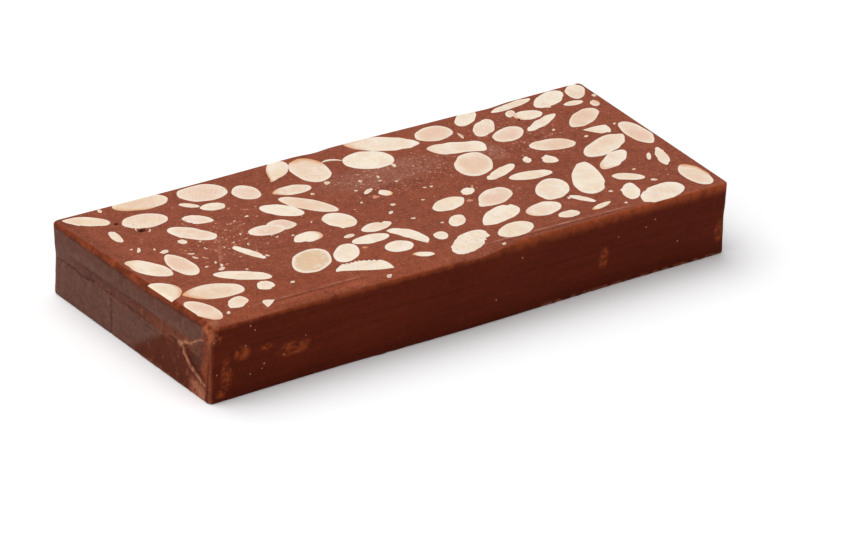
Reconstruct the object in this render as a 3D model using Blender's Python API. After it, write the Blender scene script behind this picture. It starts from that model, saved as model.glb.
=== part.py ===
"""A chocolate turron bar: a moulded slab of chocolate whose top was sliced flat, so that the almonds in it show as
pale cut faces. Each large almond is a solid of its own in a pocket of the slab. Smaller slices and chips are fused on.

The bar's own layout is in millimetres: x along the bar from its folded end, y across it from its near long side,
z up from the base. The model stands in metres, with its origin in the middle of the base.
"""

import math
from typing import NamedTuple

import bmesh
import bpy
from mathutils import Vector

MM = 0.001

# The slab.
BAR_LENGTH = 200.0
BAR_WIDTH = 80.0
BAR_HEIGHT = 25.0
BASE_EDGE_RADIUS = 1.2
SIDE_LEVELS = (6.5, 13.0, 18.5)
SIDE_WAVE = 0.45
WAIST_DEPTH = 0.6
BULGE_DEPTH = 0.25
EDGE_STEPS = 3
CORNER_STEPS = 4
LONG_SIDE_POINTS = 15
SHORT_SIDE_POINTS = 5

# The almonds. Each stands in a pocket that is the fit gap larger all round.
FIT_GAP = 0.3
RIM = 0.6
ALMOND_DEPTH_SHARE = 0.5
ALMOND_DEPTH_MIN = 2.2
ALMOND_DEPTH_MAX = 5.0
KEEL_LENGTH_SHARE = 0.66
KEEL_WIDTH_SHARE = 0.5
OUTLINE_POINTS = 18
CUTTER_RISE = 1.0

# The small slices, fused to the slab.
SMALL_OUTLINE_POINTS = 12
PROUD = 0.2
PROUD_INSET = 0.12
ROOT_DEPTH = 0.8


class Corner(NamedTuple):
    """One upright corner: how far its top and its base lie off the true rectangle, and its roundings."""

    x: float
    y: float
    top_dx: float
    top_dy: float
    base_dx: float
    base_dy: float
    upright_radius: float
    top_radius: float


# Counter-clockwise from above, starting at the folded end's near corner.
CORNERS = (
    Corner(0.0, 0.0, 0.7, 0.9, 0.4, -1.7, 2.6, 1.6),
    Corner(BAR_LENGTH, 0.0, -1.8, 0.0, -0.4, 0.1, 1.8, 0.7),
    Corner(BAR_LENGTH, BAR_WIDTH, 2.7, 0.8, 1.6, 0.6, 1.6, 0.6),
    Corner(0.0, BAR_WIDTH, -1.8, 0.0, 0.7, 1.1, 2.6, 0.8),
)


class Slice(NamedTuple):
    """The cut face of one almond: its middle, size and turn, and how its outline departs from an ellipse.

    tip and heel sharpen (above 0) or blunt (below 0) the end that turn points to and the other end. taper widens the
    tip's half. skew moves width to the left of the turn's direction, so near 1 or -1 it gives a straight-sided D.
    """

    x: float
    y: float
    length: float
    width: float
    turn: float
    tip: float = 0.05
    heel: float = 0.05
    taper: float = 0.0
    skew: float = 0.0


# Almonds as large as a berry, each a piece of its own, listed from the folded end. One that reaches past the edge of
# the flat top is cut off there.
ALMONDS = (
    Slice(6.5, 74.4, 14.6, 6.0, -34, -0.1, 0.3),
    Slice(28.3, 76.9, 18.6, 9.8, -5, -0.1, 0.1),
    Slice(48.7, 73.5, 16.6, 11.2, -10),
    Slice(22.4, 66.4, 15.2, 9.0, -8),
    Slice(30.1, 52.3, 15.8, 7.4, -48, -0.1, -0.1),
    Slice(5.7, 40.2, 14.8, 7.9, -58),
    Slice(15.6, 37.3, 15.2, 7.8, 90, 0.35, -0.05),
    Slice(2.1, 25.9, 11.6, 5.8, 90, 0.0, 0.1, 0.1, -0.9),
    Slice(14.1, 18.6, 18.0, 8.6, -14, -0.1, 0.35, 0.1),
    Slice(5.4, 10.1, 13.8, 7.2, -77),
    Slice(27.8, 22.7, 17.4, 5.6, -32, -0.1, 0.1),
    Slice(60.7, 67.3, 9.9, 8.9, 90),
    Slice(76.1, 74.6, 13.4, 6.0, 47, -0.2, 0.6, 0.1, -0.35),
    Slice(87.3, 70.4, 16.6, 12.4, 78),
    Slice(74.2, 61.9, 13.2, 5.6, -5, -0.15, 0.2),
    Slice(62.7, 52.2, 14.9, 6.7, -42),
    Slice(73.2, 51.3, 19.2, 7.1, -52),
    Slice(57.6, 44.1, 9.6, 6.4, -20, 0.3),
    Slice(75.0, 38.2, 11.2, 9.3, -60),
    Slice(108.2, 67.3, 17.0, 12.3, -12),
    Slice(118.7, 75.3, 23.6, 9.4, -25.5, -0.1, 0.2, 0.0, -0.05),
    Slice(137.6, 72.7, 14.2, 9.8, 6, -0.1, 0.15),
    Slice(137.5, 61.5, 18.8, 7.3, -20, -0.2, 0.0, 0.1),
    Slice(135.3, 49.1, 17.4, 12.0, 43),
    Slice(139.7, 40.7, 14.8, 4.2, 19),
    Slice(153.3, 76.0, 11.6, 5.1, 33),
    Slice(154.4, 68.4, 13.2, 6.4, 38),
    Slice(158.4, 61.0, 13.6, 7.9, 17),
    Slice(173.5, 62.8, 17.0, 3.8, 21),
    Slice(172.0, 77.4, 18.2, 3.5, 8),
    Slice(185.8, 75.2, 15.8, 7.4, 24),
    Slice(197.2, 75.7, 10.2, 6.2, 52),
    Slice(187.5, 59.0, 17.0, 7.5, 26, 0.0, 0.25),
    Slice(166.3, 48.3, 15.7, 7.7, -14),
    Slice(196.0, 42.3, 17.2, 8.2, 87, 0.0, 0.25),
    Slice(180.8, 39.9, 21.2, 8.6, 20),
    Slice(177.4, 30.5, 16.4, 5.0, 27, 0.15, 0.0),
    Slice(161.3, 24.4, 22.6, 10.0, 57, 0.1, 0.0, -0.22),
    Slice(173.1, 18.9, 10.7, 4.7, -30),
    Slice(167.7, 10.4, 11.6, 4.3, 54),
    Slice(176.3, 5.6, 18.4, 9.0, 12),
    Slice(193.2, 9.8, 15.2, 8.8, 86),
    Slice(192.1, 25.1, 12.4, 3.8, 66),
    Slice(111.6, 30.8, 13.4, 6.9, 12, 0.35, 0.0),
    Slice(127.3, 28.5, 16.6, 7.7, 26, -0.1, 0.3, 0.15),
    Slice(120.7, 17.6, 18.6, 6.8, 30, 0.1, 0.25),
    Slice(118.7, 7.5, 14.2, 7.8, 13),
    Slice(101.4, 7.2, 18.6, 8.6, 27),
    Slice(135.5, 14.0, 13.8, 7.6, 6),
    Slice(146.4, 23.6, 15.6, 10.2, 38),
    Slice(146.6, 34.5, 15.4, 5.4, -10),
    Slice(51.5, 20.4, 16.9, 11.2, 32),
    Slice(63.8, 19.6, 12.7, 7.4, 38),
    Slice(76.0, 23.5, 12.9, 5.3, -4),
    Slice(82.1, 29.1, 11.2, 5.0, 3),
    Slice(86.3, 19.2, 14.4, 5.4, -63, -0.1, 0.1, 0.0, 0.9),
    Slice(80.7, 15.3, 9.9, 6.7, 0),
    Slice(62.4, 8.0, 17.9, 6.4, -21.7, -0.35, -0.1, 0.2, 0.85),
    Slice(59.8, 33.6, 10.4, 6.2, 2, -0.05, 0.4),
)

# Slices too small to be a piece of their own: they are fused to the slab and stand just proud of it.
SMALL_SLICES = (
    Slice(40.2, 68.4, 6.4, 2.6, -42),
    Slice(46.1, 64.2, 8.4, 4.8, -8, 0.0, 0.35),
    Slice(8.6, 61.6, 7.8, 3.2, 82),
    Slice(36.8, 59.4, 9.0, 5.6, -30, -0.2, 0.0),
    Slice(16.3, 9.3, 8.2, 5.0, 28),
    Slice(30.0, 14.3, 6.0, 5.0, 10, 0.0, 0.3),
    Slice(37.6, 34.5, 11.2, 3.2, -70),
    Slice(49.0, 43.7, 6.8, 6.2, -5, -0.2, 0.0),
    Slice(168.2, 72.6, 5.2, 3.0, 42),
    Slice(173.0, 69.1, 9.4, 5.8, -5),
    Slice(191.4, 69.2, 7.6, 3.0, -3),
    Slice(187.0, 50.2, 8.8, 4.2, -22, -0.2, 0.5),
    Slice(121.8, 34.9, 6.2, 4.0, 32),
    Slice(106.9, 20.6, 8.4, 4.8, 38),
    Slice(140.3, 7.3, 7.6, 4.2, -4),
    Slice(150.6, 13.8, 8.4, 2.8, -55),
    Slice(152.8, 7.0, 8.4, 2.2, 12),
    Slice(96.2, 14.9, 5.4, 4.4, 45),
    Slice(83.9, 7.6, 6.8, 3.0, -25),
    Slice(24.5, 49.4, 2.8, 2.8, 0),
    Slice(16.2, 46.7, 2.8, 1.8, 10),
    Slice(24.5, 4.9, 4.0, 2.5, 20, 0.4, -0.2),
    Slice(94.5, 49.8, 4.8, 1.7, 25),
    Slice(98.7, 46.3, 4.4, 3.8, -40, 0.0, -0.3),
    Slice(97.5, 71.9, 4.8, 1.2, -30),
    Slice(197.7, 65.9, 4.2, 3.2, 60),
    Slice(188.2, 26.9, 5.2, 1.5, 53),
    Slice(71.2, 28.1, 4.0, 1.9, 8),
    Slice(152.2, 43.6, 4.2, 2.2, 60),
    Slice(160.0, 40.5, 5.4, 3.8, -15, -0.2, 0.4),
)


class Fold(NamedTuple):
    """A mark that the paper lining left on the folded end, along a line of (y, z) points.

    reach is how far the mark goes into the end face, or out of it where it is negative.
    """

    points: tuple
    radius: float
    reach: float


FOLDS = (
    Fold(((79.0, 12.9), (66.0, 12.6), (51.5, 12.8)), 0.9, 0.35),
    Fold(((50.2, 12.6), (50.0, 6.0), (49.4, 1.3)), 0.9, 0.35),
    Fold(((44.6, 12.5), (35.0, 12.0), (26.0, 10.9)), 0.8, 0.3),
    Fold(((58.0, 17.2), (44.0, 16.6), (30.0, 15.6), (15.4, 12.8)), 1.3, 0.3),
    Fold(((13.6, 12.8), (7.4, 17.0), (2.8, 20.3)), 0.8, -0.3),
    Fold(((13.4, 12.0), (8.6, 8.4), (2.6, 4.6)), 0.8, -0.35),
)
FOLD_SIDES = 6
CORNER_FACET = ((11.6, 12.4), (3.0, 18.6), (2.6, 6.4))
FACET_DEPTH = 0.5
FACET_RISE = 2.0


def lerp(a, b, share):
    return a + (b - a) * share


def corner_point(corner, height):
    """Where a corner's upright edge is at this height, before it is rounded."""
    share = height / BAR_HEIGHT
    dx = lerp(corner.base_dx, corner.top_dx, share)
    dy = lerp(corner.base_dy, corner.top_dy, share)
    return Vector((corner.x + dx, corner.y + dy))


def waist(height):
    """How far the two ends are pinched in at this height, deepest where the paper was folded over."""
    knots = (0.0, *SIDE_LEVELS, BAR_HEIGHT)
    shares = (0.0, 0.6, 1.0, 0.3, 0.0)
    for low, high, start, end in zip(knots, knots[1:], shares, shares[1:]):
        if height <= high:
            return WAIST_DEPTH * lerp(start, end, (height - low) / (high - low))
    return 0.0


def side_wave(share):
    """How far a long side's slow wave comes inwards, at this share of its length."""
    return SIDE_WAVE * math.sin(3 * math.pi * share) * math.sin(math.pi * share)


def end_x(y, height):
    """The x of the folded end's face at this y and height."""
    near, far = (corner_point(CORNERS[i], height) for i in (0, 3))
    return lerp(near.x, far.x, (y - near.y) / (far.y - near.y)) + waist(height)


def flat_top_limits(x, y):
    """The flat top's limits in x, at this y, and in y, at this x."""
    near_left, near_right, far_right, far_left = CORNERS
    across = y / BAR_WIDTH
    left = lerp(near_left.top_dx + near_left.top_radius, far_left.top_dx + far_left.top_radius, across)
    right = lerp(near_right.top_dx - near_right.top_radius, far_right.top_dx - far_right.top_radius, across)
    along = x / BAR_LENGTH
    near = lerp(near_left.top_dy + near_left.top_radius, near_right.top_dy + near_right.top_radius, along)
    far = lerp(far_left.top_dy - far_left.top_radius, far_right.top_dy - far_right.top_radius, along)
    x_limits = (left, BAR_LENGTH + right)
    y_limits = (near + side_wave(along), BAR_WIDTH + far - side_wave(1 - along))
    return x_limits, y_limits


def rounded_corner(corner, before, here, after, shift):
    """The arc of an upright corner, as (point, inward direction) pairs."""
    to_before = (before - here).normalized()
    to_after = (after - here).normalized()
    half_angle = to_before.angle(to_after) / 2
    bisector = (to_before + to_after).normalized()
    centre = here + shift + bisector * corner.upright_radius / math.sin(half_angle)
    first = here + shift + to_before * corner.upright_radius / math.tan(half_angle) - centre
    sweep = math.pi - 2 * half_angle
    for step in range(CORNER_STEPS + 1):
        turn = sweep * step / CORNER_STEPS
        cosine, sine = math.cos(turn), math.sin(turn)
        spoke = Vector((first.x * cosine - first.y * sine, first.x * sine + first.y * cosine))
        yield centre + spoke, -spoke.normalized()


def ring(height):
    """The slab's outline at this height, as (point, inward direction, top edge radius) for each of its points."""
    corners = [corner_point(corner, height) for corner in CORNERS]
    pinch = waist(height)
    bulge = BULGE_DEPTH * math.sin(math.pi * height / BAR_HEIGHT)
    plan = []
    for i, corner in enumerate(CORNERS):
        before, here, after = corners[i - 1], corners[i], corners[(i + 1) % 4]
        shift = Vector((pinch if corner.x == 0 else -pinch, 0.0))
        for point, inward in rounded_corner(corner, before, here, after, shift):
            plan.append((point, inward, corner.top_radius))
        along = after - here
        inward = Vector((-along.y, along.x)).normalized()
        is_long = i in (0, 2)
        count = LONG_SIDE_POINTS if is_long else SHORT_SIDE_POINTS
        for n in range(1, count + 1):
            share = n / (count + 1)
            depth = side_wave(share) - bulge if is_long else pinch
            radius = lerp(corner.top_radius, CORNERS[(i + 1) % 4].top_radius, share)
            plan.append((here + along * share + inward * depth, inward, radius))
    return plan


def bar_vector(x, y, z):
    return Vector((x, y, z)) * MM


def slab_rings():
    """The slab's rings from the base up, each a list of points."""
    rings = []
    turns = [math.pi / 2 * step / EDGE_STEPS for step in range(EDGE_STEPS + 1)]
    for turn in turns:
        inset = BASE_EDGE_RADIUS * (1 - math.sin(turn))
        height = BASE_EDGE_RADIUS * (1 - math.cos(turn))
        rings.append([bar_vector(*(point + inward * inset), height) for point, inward, _ in ring(height)])
    for height in SIDE_LEVELS:
        rings.append([bar_vector(*point, height) for point, _, _ in ring(height)])
    for turn in turns:
        level = []
        for point, inward, radius in ring(BAR_HEIGHT):
            inset = radius * (1 - math.cos(turn))
            height = BAR_HEIGHT - radius * (1 - math.sin(turn))
            level.append(bar_vector(*(point + inward * inset), height))
        rings.append(level)
    return rings


def object_from_rings(name, rings, collection=None):
    """A closed solid whose skin joins each ring of points to the next."""
    mesh = bmesh.new()
    levels = [[mesh.verts.new(point) for point in points] for points in rings]
    for low, high in zip(levels, levels[1:]):
        for i in range(len(low)):
            j = (i + 1) % len(low)
            mesh.faces.new((low[i], low[j], high[j], high[i]))
    mesh.faces.new(reversed(levels[0]))
    mesh.faces.new(levels[-1])
    bmesh.ops.recalc_face_normals(mesh, faces=mesh.faces)
    data = bpy.data.meshes.new(name)
    mesh.to_mesh(data)
    mesh.free()
    made = bpy.data.objects.new(name, data)
    (collection or bpy.context.scene.collection).objects.link(made)
    return made


def outline(almond, height, count, grow=0.0, length_share=1.0, width_share=1.0):
    """The almond's outline at this height, grown outwards by grow, and cut off at the edge of the flat top."""
    half_length = almond.length / 2 * length_share
    half_width = almond.width / 2 * width_share
    turn = math.radians(almond.turn)
    rim = RIM - grow
    points = []
    for i in range(count):
        angle = 2 * math.pi * i / count
        along, across = math.cos(angle), math.sin(angle)
        sharpness = almond.tip if along > 0 else almond.heel
        side = 1 + almond.skew if across > 0 else 1 - almond.skew
        swell = side * (1 + almond.taper * along)
        u = (half_length + grow) * along
        v = half_width * swell * math.copysign(abs(across) ** (1 + sharpness), across) + grow * across
        x = almond.x + u * math.cos(turn) - v * math.sin(turn)
        y = almond.y + u * math.sin(turn) + v * math.cos(turn)
        (left, right), (near, far) = flat_top_limits(x, y)
        x = min(max(x, left + rim), right - rim)
        y = min(max(y, near + rim), far - rim)
        points.append(bar_vector(x, y, height))
    return points


def almond_rings(almond, grow=0.0, rise=0.0):
    """Rings from the buried keel up to the cut face. A pocket is the same shape, grown by the gap and raised."""
    depth = min(max(almond.width * ALMOND_DEPTH_SHARE, ALMOND_DEPTH_MIN), ALMOND_DEPTH_MAX)
    keel = BAR_HEIGHT - depth - grow
    rings = [outline(almond, keel, OUTLINE_POINTS, grow, KEEL_LENGTH_SHARE, KEEL_WIDTH_SHARE)]
    rings.append(outline(almond, BAR_HEIGHT, OUTLINE_POINTS, grow))
    if rise:
        rings.append(outline(almond, BAR_HEIGHT + rise, OUTLINE_POINTS, grow))
    return rings


def small_slice_rings(almond):
    """A low island: rooted in the slab, with its upper edge drawn in a little."""
    return [
        outline(almond, BAR_HEIGHT - ROOT_DEPTH, SMALL_OUTLINE_POINTS),
        outline(almond, BAR_HEIGHT, SMALL_OUTLINE_POINTS),
        outline(almond, BAR_HEIGHT + PROUD, SMALL_OUTLINE_POINTS, -PROUD_INSET),
    ]


def fold_rings(fold):
    """A six-sided rod along a fold's line. Its middle lies out of the face for a groove and inside it for a ridge."""
    offset = math.copysign(fold.radius, fold.reach) - fold.reach
    spine = [Vector((end_x(y, z) - offset, y, z)) for y, z in fold.points]
    rings = []
    for i, point in enumerate(spine):
        heading = (spine[min(i + 1, len(spine) - 1)] - spine[max(i - 1, 0)]).normalized()
        out = Vector((1, 0, 0))
        out = (out - heading * out.dot(heading)).normalized()
        across = heading.cross(out)
        turns = [2 * math.pi * n / FOLD_SIDES for n in range(FOLD_SIDES)]
        spokes = [out * math.cos(turn) + across * math.sin(turn) for turn in turns]
        rings.append([(point + spoke * fold.radius) * MM for spoke in spokes])
    return rings


def facet_rings():
    """A thin three-sided wedge that presses the corner's folded triangle into the end face."""
    outside = [bar_vector(end_x(y, z) - FACET_RISE, y, z) for y, z in CORNER_FACET]
    inside = [bar_vector(end_x(y, z) + FACET_DEPTH, y, z) for y, z in CORNER_FACET]
    return [outside, inside]


def new_collection(name):
    made = bpy.data.collections.new(name)
    bpy.context.scene.collection.children.link(made)
    return made


def boolean(target, operation, collection):
    """Adds or cuts a collection's shapes, applies the result, and removes the shapes."""
    modifier = target.modifiers.new(operation.lower(), "BOOLEAN")
    modifier.operation = operation
    modifier.operand_type = "COLLECTION"
    modifier.collection = collection
    modifier.solver = "EXACT"
    bpy.context.view_layer.objects.active = target
    bpy.ops.object.modifier_apply(modifier=modifier.name)
    for shape in list(collection.objects):
        bpy.data.objects.remove(shape)
    bpy.data.collections.remove(collection)


def build_slab():
    """The chocolate, with its paper folds, its almond pockets and the small slices that are fused to it."""
    slab = object_from_rings("chocolate", slab_rings())

    grooves = new_collection("grooves")
    ridges = new_collection("ridges")
    for n, fold in enumerate(FOLDS, start=1):
        object_from_rings(f"fold_{n}", fold_rings(fold), grooves if fold.reach > 0 else ridges)
    object_from_rings("corner_facet", facet_rings(), grooves)
    boolean(slab, "DIFFERENCE", grooves)
    boolean(slab, "UNION", ridges)

    pockets = new_collection("pockets")
    for n, almond in enumerate(ALMONDS, start=1):
        object_from_rings(f"pocket_{n}", almond_rings(almond, FIT_GAP, CUTTER_RISE), pockets)
    boolean(slab, "DIFFERENCE", pockets)

    islands = new_collection("islands")
    for n, almond in enumerate(SMALL_SLICES, start=1):
        object_from_rings(f"island_{n}", small_slice_rings(almond), islands)
    boolean(slab, "UNION", islands)
    return slab


def build_almonds():
    return [object_from_rings(f"almond_{n:02d}", almond_rings(almond)) for n, almond in enumerate(ALMONDS, start=1)]


def stand_on_origin(objects, slab):
    """Moves everything so that the middle of the slab's box, on its base, is the origin."""
    points = [vertex.co for vertex in slab.data.vertices]
    lows = [min(point[axis] for point in points) for axis in range(3)]
    highs = [max(point[axis] for point in points) for axis in range(3)]
    shift = Vector((-(lows[0] + highs[0]) / 2, -(lows[1] + highs[1]) / 2, -lows[2]))
    for made in objects:
        for vertex in made.data.vertices:
            vertex.co += shift


def material(name, colour, roughness):
    made = bpy.data.materials.new(name)
    made.use_nodes = True
    shader = made.node_tree.nodes["Principled BSDF"]
    shader.inputs["Base Color"].default_value = (*colour, 1.0)
    shader.inputs["Roughness"].default_value = roughness
    shader.inputs["Metallic"].default_value = 0.0
    made.diffuse_color = (*colour, 1.0)
    return made


def main():
    for old in list(bpy.data.objects):
        bpy.data.objects.remove(old)
    slab = build_slab()
    almonds = build_almonds()
    stand_on_origin([slab, *almonds], slab)
    slab.data.materials.append(material("chocolate", (0.12, 0.035, 0.02), 0.4))
    nut = material("almond", (0.82, 0.68, 0.5), 0.6)
    for almond in almonds:
        almond.data.materials.append(nut)
    slab.data.shade_smooth()
    slab.data.set_sharp_from_angle(angle=math.radians(35))


main()
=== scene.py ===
"""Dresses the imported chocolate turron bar: the moulded slab with its cut top, the sliced almonds, the
chips and the crumbs, each with its own material, and a plain stage to look at them on.

Lengths in the tables are millimetres in the bar's own layout: x along the bar from its folded end, y
across it from its near long side, z up from the base. to_frame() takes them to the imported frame's metres.
"""

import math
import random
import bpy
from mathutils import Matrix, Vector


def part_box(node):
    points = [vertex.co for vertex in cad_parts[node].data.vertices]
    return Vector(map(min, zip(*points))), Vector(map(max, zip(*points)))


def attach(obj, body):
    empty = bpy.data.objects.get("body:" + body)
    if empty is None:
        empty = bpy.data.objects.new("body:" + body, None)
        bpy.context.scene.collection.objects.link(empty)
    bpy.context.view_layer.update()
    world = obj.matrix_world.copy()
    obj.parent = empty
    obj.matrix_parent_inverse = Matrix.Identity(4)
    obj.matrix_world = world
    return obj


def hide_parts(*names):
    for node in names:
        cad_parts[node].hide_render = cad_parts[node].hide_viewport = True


bl_info = {
    "name": "Chocolate turron bar",
    "version": (1, 0, 0),
    "blender": (4, 5, 0),
    "location": "3D View > Sidebar > Turron",
    "description": "Builds a moulded chocolate bar with sliced almonds in its cut top",
    "category": "Add Mesh",
}

from functools import reduce
from typing import NamedTuple

import bmesh
import bpy
import numpy as np
from bpy.props import FloatProperty, FloatVectorProperty, IntProperty, PointerProperty
from mathutils import Matrix, Vector

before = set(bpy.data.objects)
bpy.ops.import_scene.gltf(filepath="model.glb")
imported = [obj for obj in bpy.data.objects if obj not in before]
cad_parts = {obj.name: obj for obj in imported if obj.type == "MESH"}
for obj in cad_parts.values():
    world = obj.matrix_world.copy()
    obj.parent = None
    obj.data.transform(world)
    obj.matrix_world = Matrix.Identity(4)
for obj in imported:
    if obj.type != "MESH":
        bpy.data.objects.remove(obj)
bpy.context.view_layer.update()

MM = 0.001
LENGTH, WIDTH, HEIGHT = 200.0, 80.0, 25.0
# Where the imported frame's origin lies in the bar's layout.
MIDDLE = (100.445, 39.906)
# The stage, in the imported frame's metres: the point that the camera looks at, half the floor's width, and
# the place and size of each soft light.
AIM = Vector((3.224, -10.089, 1.349)) * MM
FLOOR_REACH = 6.0
KEY_LIGHT = ((-0.6, 0.9, 2.2), (2.6, 2.2))
END_LIGHT = ((-1.2, 0.25, 0.35), (1.2, 0.7))

# ----------------------------------------------------------------------------
# The slab's shape
# ----------------------------------------------------------------------------


class Corner(NamedTuple):
    """An upright corner: its place, how far its top and base lie off it, and its roundings from above."""

    x: float
    y: float
    top_dx: float
    top_dy: float
    base_dx: float
    base_dy: float
    radius: float
    top_radius: float


NEAR_LEFT = Corner(0.0, 0.0, 0.7, 0.9, 0.4, -1.7, 1.5, 2.4)
NEAR_RIGHT = Corner(LENGTH, 0.0, -1.3, 0.0, 0.2, 0.1, 1.8, 1.6)
FAR_RIGHT = Corner(LENGTH, WIDTH, 3.3, 0.8, 1.8, 0.6, 1.6, 1.4)
FAR_LEFT = Corner(0.0, WIDTH, -2.6, 0.0, -0.2, 1.1, 2.6, 2.2)

# How far the long sides wander and bulge, how the base's edge is rounded, and how far the ends draw in at
# each height, as (height, amount).
SIDE_WAVE = 0.45
BULGE = 0.25
BASE_RADIUS = 0.55
WAIST = ((0.0, 0.0), (6.5, 0.36), (13.0, 0.6), (18.5, 0.18), (25.0, 0.0))

# The soft shoulder between the cut top and each side, as (distance along the side, value): how wide it is
# and how far it falls.
NEAR_WIDTH = (
    (0, 2.0), (12, 3.8), (25, 4.6), (60, 4.4), (92, 3.6), (104, 3.2), (130, 2.2), (152, 1.4), (200, 1.0),
)
NEAR_FALL = (
    (0, 1.2), (15, 1.5), (60, 1.5), (88, 1.6), (101, 2.2), (113, 1.8), (132, 1.1), (152, 0.6), (200, 0.5),
)
LEFT_WIDTH = ((0, 1.8), (10, 2.0), (45, 1.7), (70, 1.4), (80, 1.2))
LEFT_FALL = ((0, 1.3), (10, 1.3), (45, 1.1), (80, 0.9))
CRISP_WIDTH = 0.7
CRISP_FALL = 0.5
# Where the far top edge is chipped, as (x, depth).
FAR_DIPS = ((0, 0.0), (88, 0.0), (96, 0.7), (103, 0.1), (150, 0.1), (164, 0.9), (174, 0.1), (200, 0.0))
# The faint groove along the near shoulder, and the small step at the seam of the near side.
GROOVE_DEPTH = 0.14
SEAM_STEP = 0.03

# How fine the slab's mesh is: points along each side and round each corner, and rows up the wall and the
# shoulder.
LONG_POINTS = 170
SHORT_POINTS = 196
CORNER_STEPS = 8
WALL_LEVELS = 60
SHOULDER_LEVELS = 8


class Pit(NamedTuple):
    """A broken air bubble in the cut top."""

    x: float
    y: float
    length: float
    width: float
    turn: float
    depth: float


LIP_HEIGHT = 0.06
PITS = (
    Pit(13.8, 68.7, 1.5, 1.3, 0, 0.9),
    Pit(18.3, 61.5, 2.9, 1.8, 10, 0.8),
    Pit(168.2, 67.5, 1.2, 1.0, 40, 0.6),
    Pit(65.5, 48.0, 0.8, 0.7, 0, 0.3),
)


class Crease(NamedTuple):
    """A mark of the folded paper on the end, along (y, z) points.

    depth is how far it goes into the face, below 0 for a ridge. shade is how dark the painted shade
    in it is, below 0 where it is worn pale.
    """

    points: tuple
    width: float
    depth: float
    shade: float


CREASES = (
    Crease(
        ((77.4, 13.0), (72.7, 13.2), (68.4, 13.2), (65.2, 12.4), (61.2, 13.3), (58.6, 13.8)),
        0.5, 0.34, 1.0,
    ),
    Crease(
        ((62.5, 16.9), (54.0, 16.3), (47.7, 16.6), (36.4, 16.6), (28.0, 16.0), (23.6, 15.0)),
        0.8, 0.1, 0.5,
    ),
    Crease(((50.3, 13.0), (49.7, 8.0), (49.3, 0.8)), 0.7, 0.34, 0.65),
    Crease(((51.6, 12.6), (51.5, 6.0), (51.3, 1.0)), 0.4, -0.06, -0.12),
    Crease(((53.8, 13.1), (49.6, 13.1)), 0.4, 0.2, 0.7),
    Crease(((53.5, 14.1), (50.0, 14.5)), 0.35, 0.12, 0.4),
    Crease(((57.5, 12.7), (46.5, 12.0), (41.1, 12.2)), 0.35, -0.1, -0.3),
    Crease(((37.3, 11.6), (33.4, 11.2), (28.0, 10.7)), 0.35, 0.26, 0.8),
    Crease(((40.5, 14.7), (33.5, 14.4), (28.0, 13.3), (24.7, 12.2), (19.0, 12.3)), 0.8, -0.12, -0.3),
    Crease(((43.0, 13.4), (36.0, 13.3), (31.0, 12.6)), 0.35, 0.14, 0.45),
    Crease(((20.2, 12.9), (17.0, 12.7)), 0.5, 0.28, 1.0),
    Crease(((15.6, 12.9), (13.8, 13.6), (12.4, 14.5)), 1.1, -0.34, -1.0),
    Crease(((12.4, 14.5), (10.6, 15.0), (9.2, 15.8)), 0.85, -0.36, -1.0),
    Crease(((9.2, 15.8), (6.5, 17.8), (4.2, 19.0)), 0.5, -0.28, -0.85),
    Crease(((13.6, 13.2), (12.9, 10.7), (8.8, 7.8), (4.8, 6.1), (1.6, 4.9)), 0.75, -0.3, -0.95),
    Crease(((12.2, 13.2), (11.5, 12.4)), 0.5, 0.3, 1.0),
    Crease(((11.4, 11.4), (8.0, 8.9), (5.0, 7.3)), 0.65, 0.45, 1.0),
    Crease(((18.0, 7.0), (14.0, 3.0)), 0.7, -0.12, -0.25),
    Crease(((8.6, 5.0), (8.3, 0.8)), 0.6, -0.2, -0.3),
    Crease(((33.8, 0.6), (20.0, 0.7), (12.0, 0.5)), 0.5, -0.14, -0.3),
)
# The folded-in triangle beside the near corner, as (y, z), and the small ring marks, as (y, z, radius).
FACET = ((11.6, 12.6), (1.6, 18.8), (1.6, 6.2))
FACET_DEPTH = 0.4
FACET_SOFTNESS = 0.9
RING_MARKS = ((70.7, 21.9, 0.8), (60.3, 14.7, 0.7))
RING_DEPTH = 0.14
# Creases fainter than this leave no line in the material.
FAINT_SHADE = 0.6

# How far down the painted orange-brown highlight under the top edge comes, as (distance along the side,
# height): on the folded end, and on the near side, where it ends as softly as the table after them says.
END_HIGHLIGHT_BAND = (
    (0, 23.4), (5, 23.3), (11, 22.9), (21, 22.7), (32, 22.2), (44, 22.8), (58, 23.1), (68, 23.4),
    (80, 23.8),
)
NEAR_HIGHLIGHT_BAND = (
    (0, 18.0), (1.2, 19.5), (2.0, 22.0), (3.5, 23.0), (20, 23.2), (50, 22.5), (88, 22.7), (112, 22.6),
    (200, 22.7),
)
NEAR_HIGHLIGHT_FADE = ((0, 2.0), (60, 2.2), (88, 2.6), (112, 4.0), (200, 4.0))


def lerp(a, b, share):
    return a + (b - a) * share


def ease(share):
    """0 to 1 with a soft start and end."""
    share = np.clip(share, 0.0, 1.0)
    return share * share * (3.0 - 2.0 * share)


def along(knots, position):
    """A value that eases from knot to knot, each a (position, value)."""
    places, values = (np.array(column, float) for column in zip(*knots))
    position = np.asarray(position, float)
    index = np.clip(np.searchsorted(places, position) - 1, 0, len(places) - 2)
    share = (position - places[index]) / (places[index + 1] - places[index])
    return lerp(values[index], values[index + 1], ease(share))


def waves(seed, pitch, count=6):
    """A smooth uneven curve between about -1 and 1, with bumps about a pitch long."""
    draw = random.Random(seed)
    turns = math.tau
    terms = [(draw.uniform(0.5, 1.6) * turns / pitch, draw.uniform(0, turns)) for _ in range(count)]
    return lambda position: sum(np.sin(rate * position + phase) for rate, phase in terms) * 1.5 / count


def mound(distance, width):
    """1 where the distance is 0, falling smoothly to 0 over about twice the width."""
    return np.exp(-((distance / width) ** 2))


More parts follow.
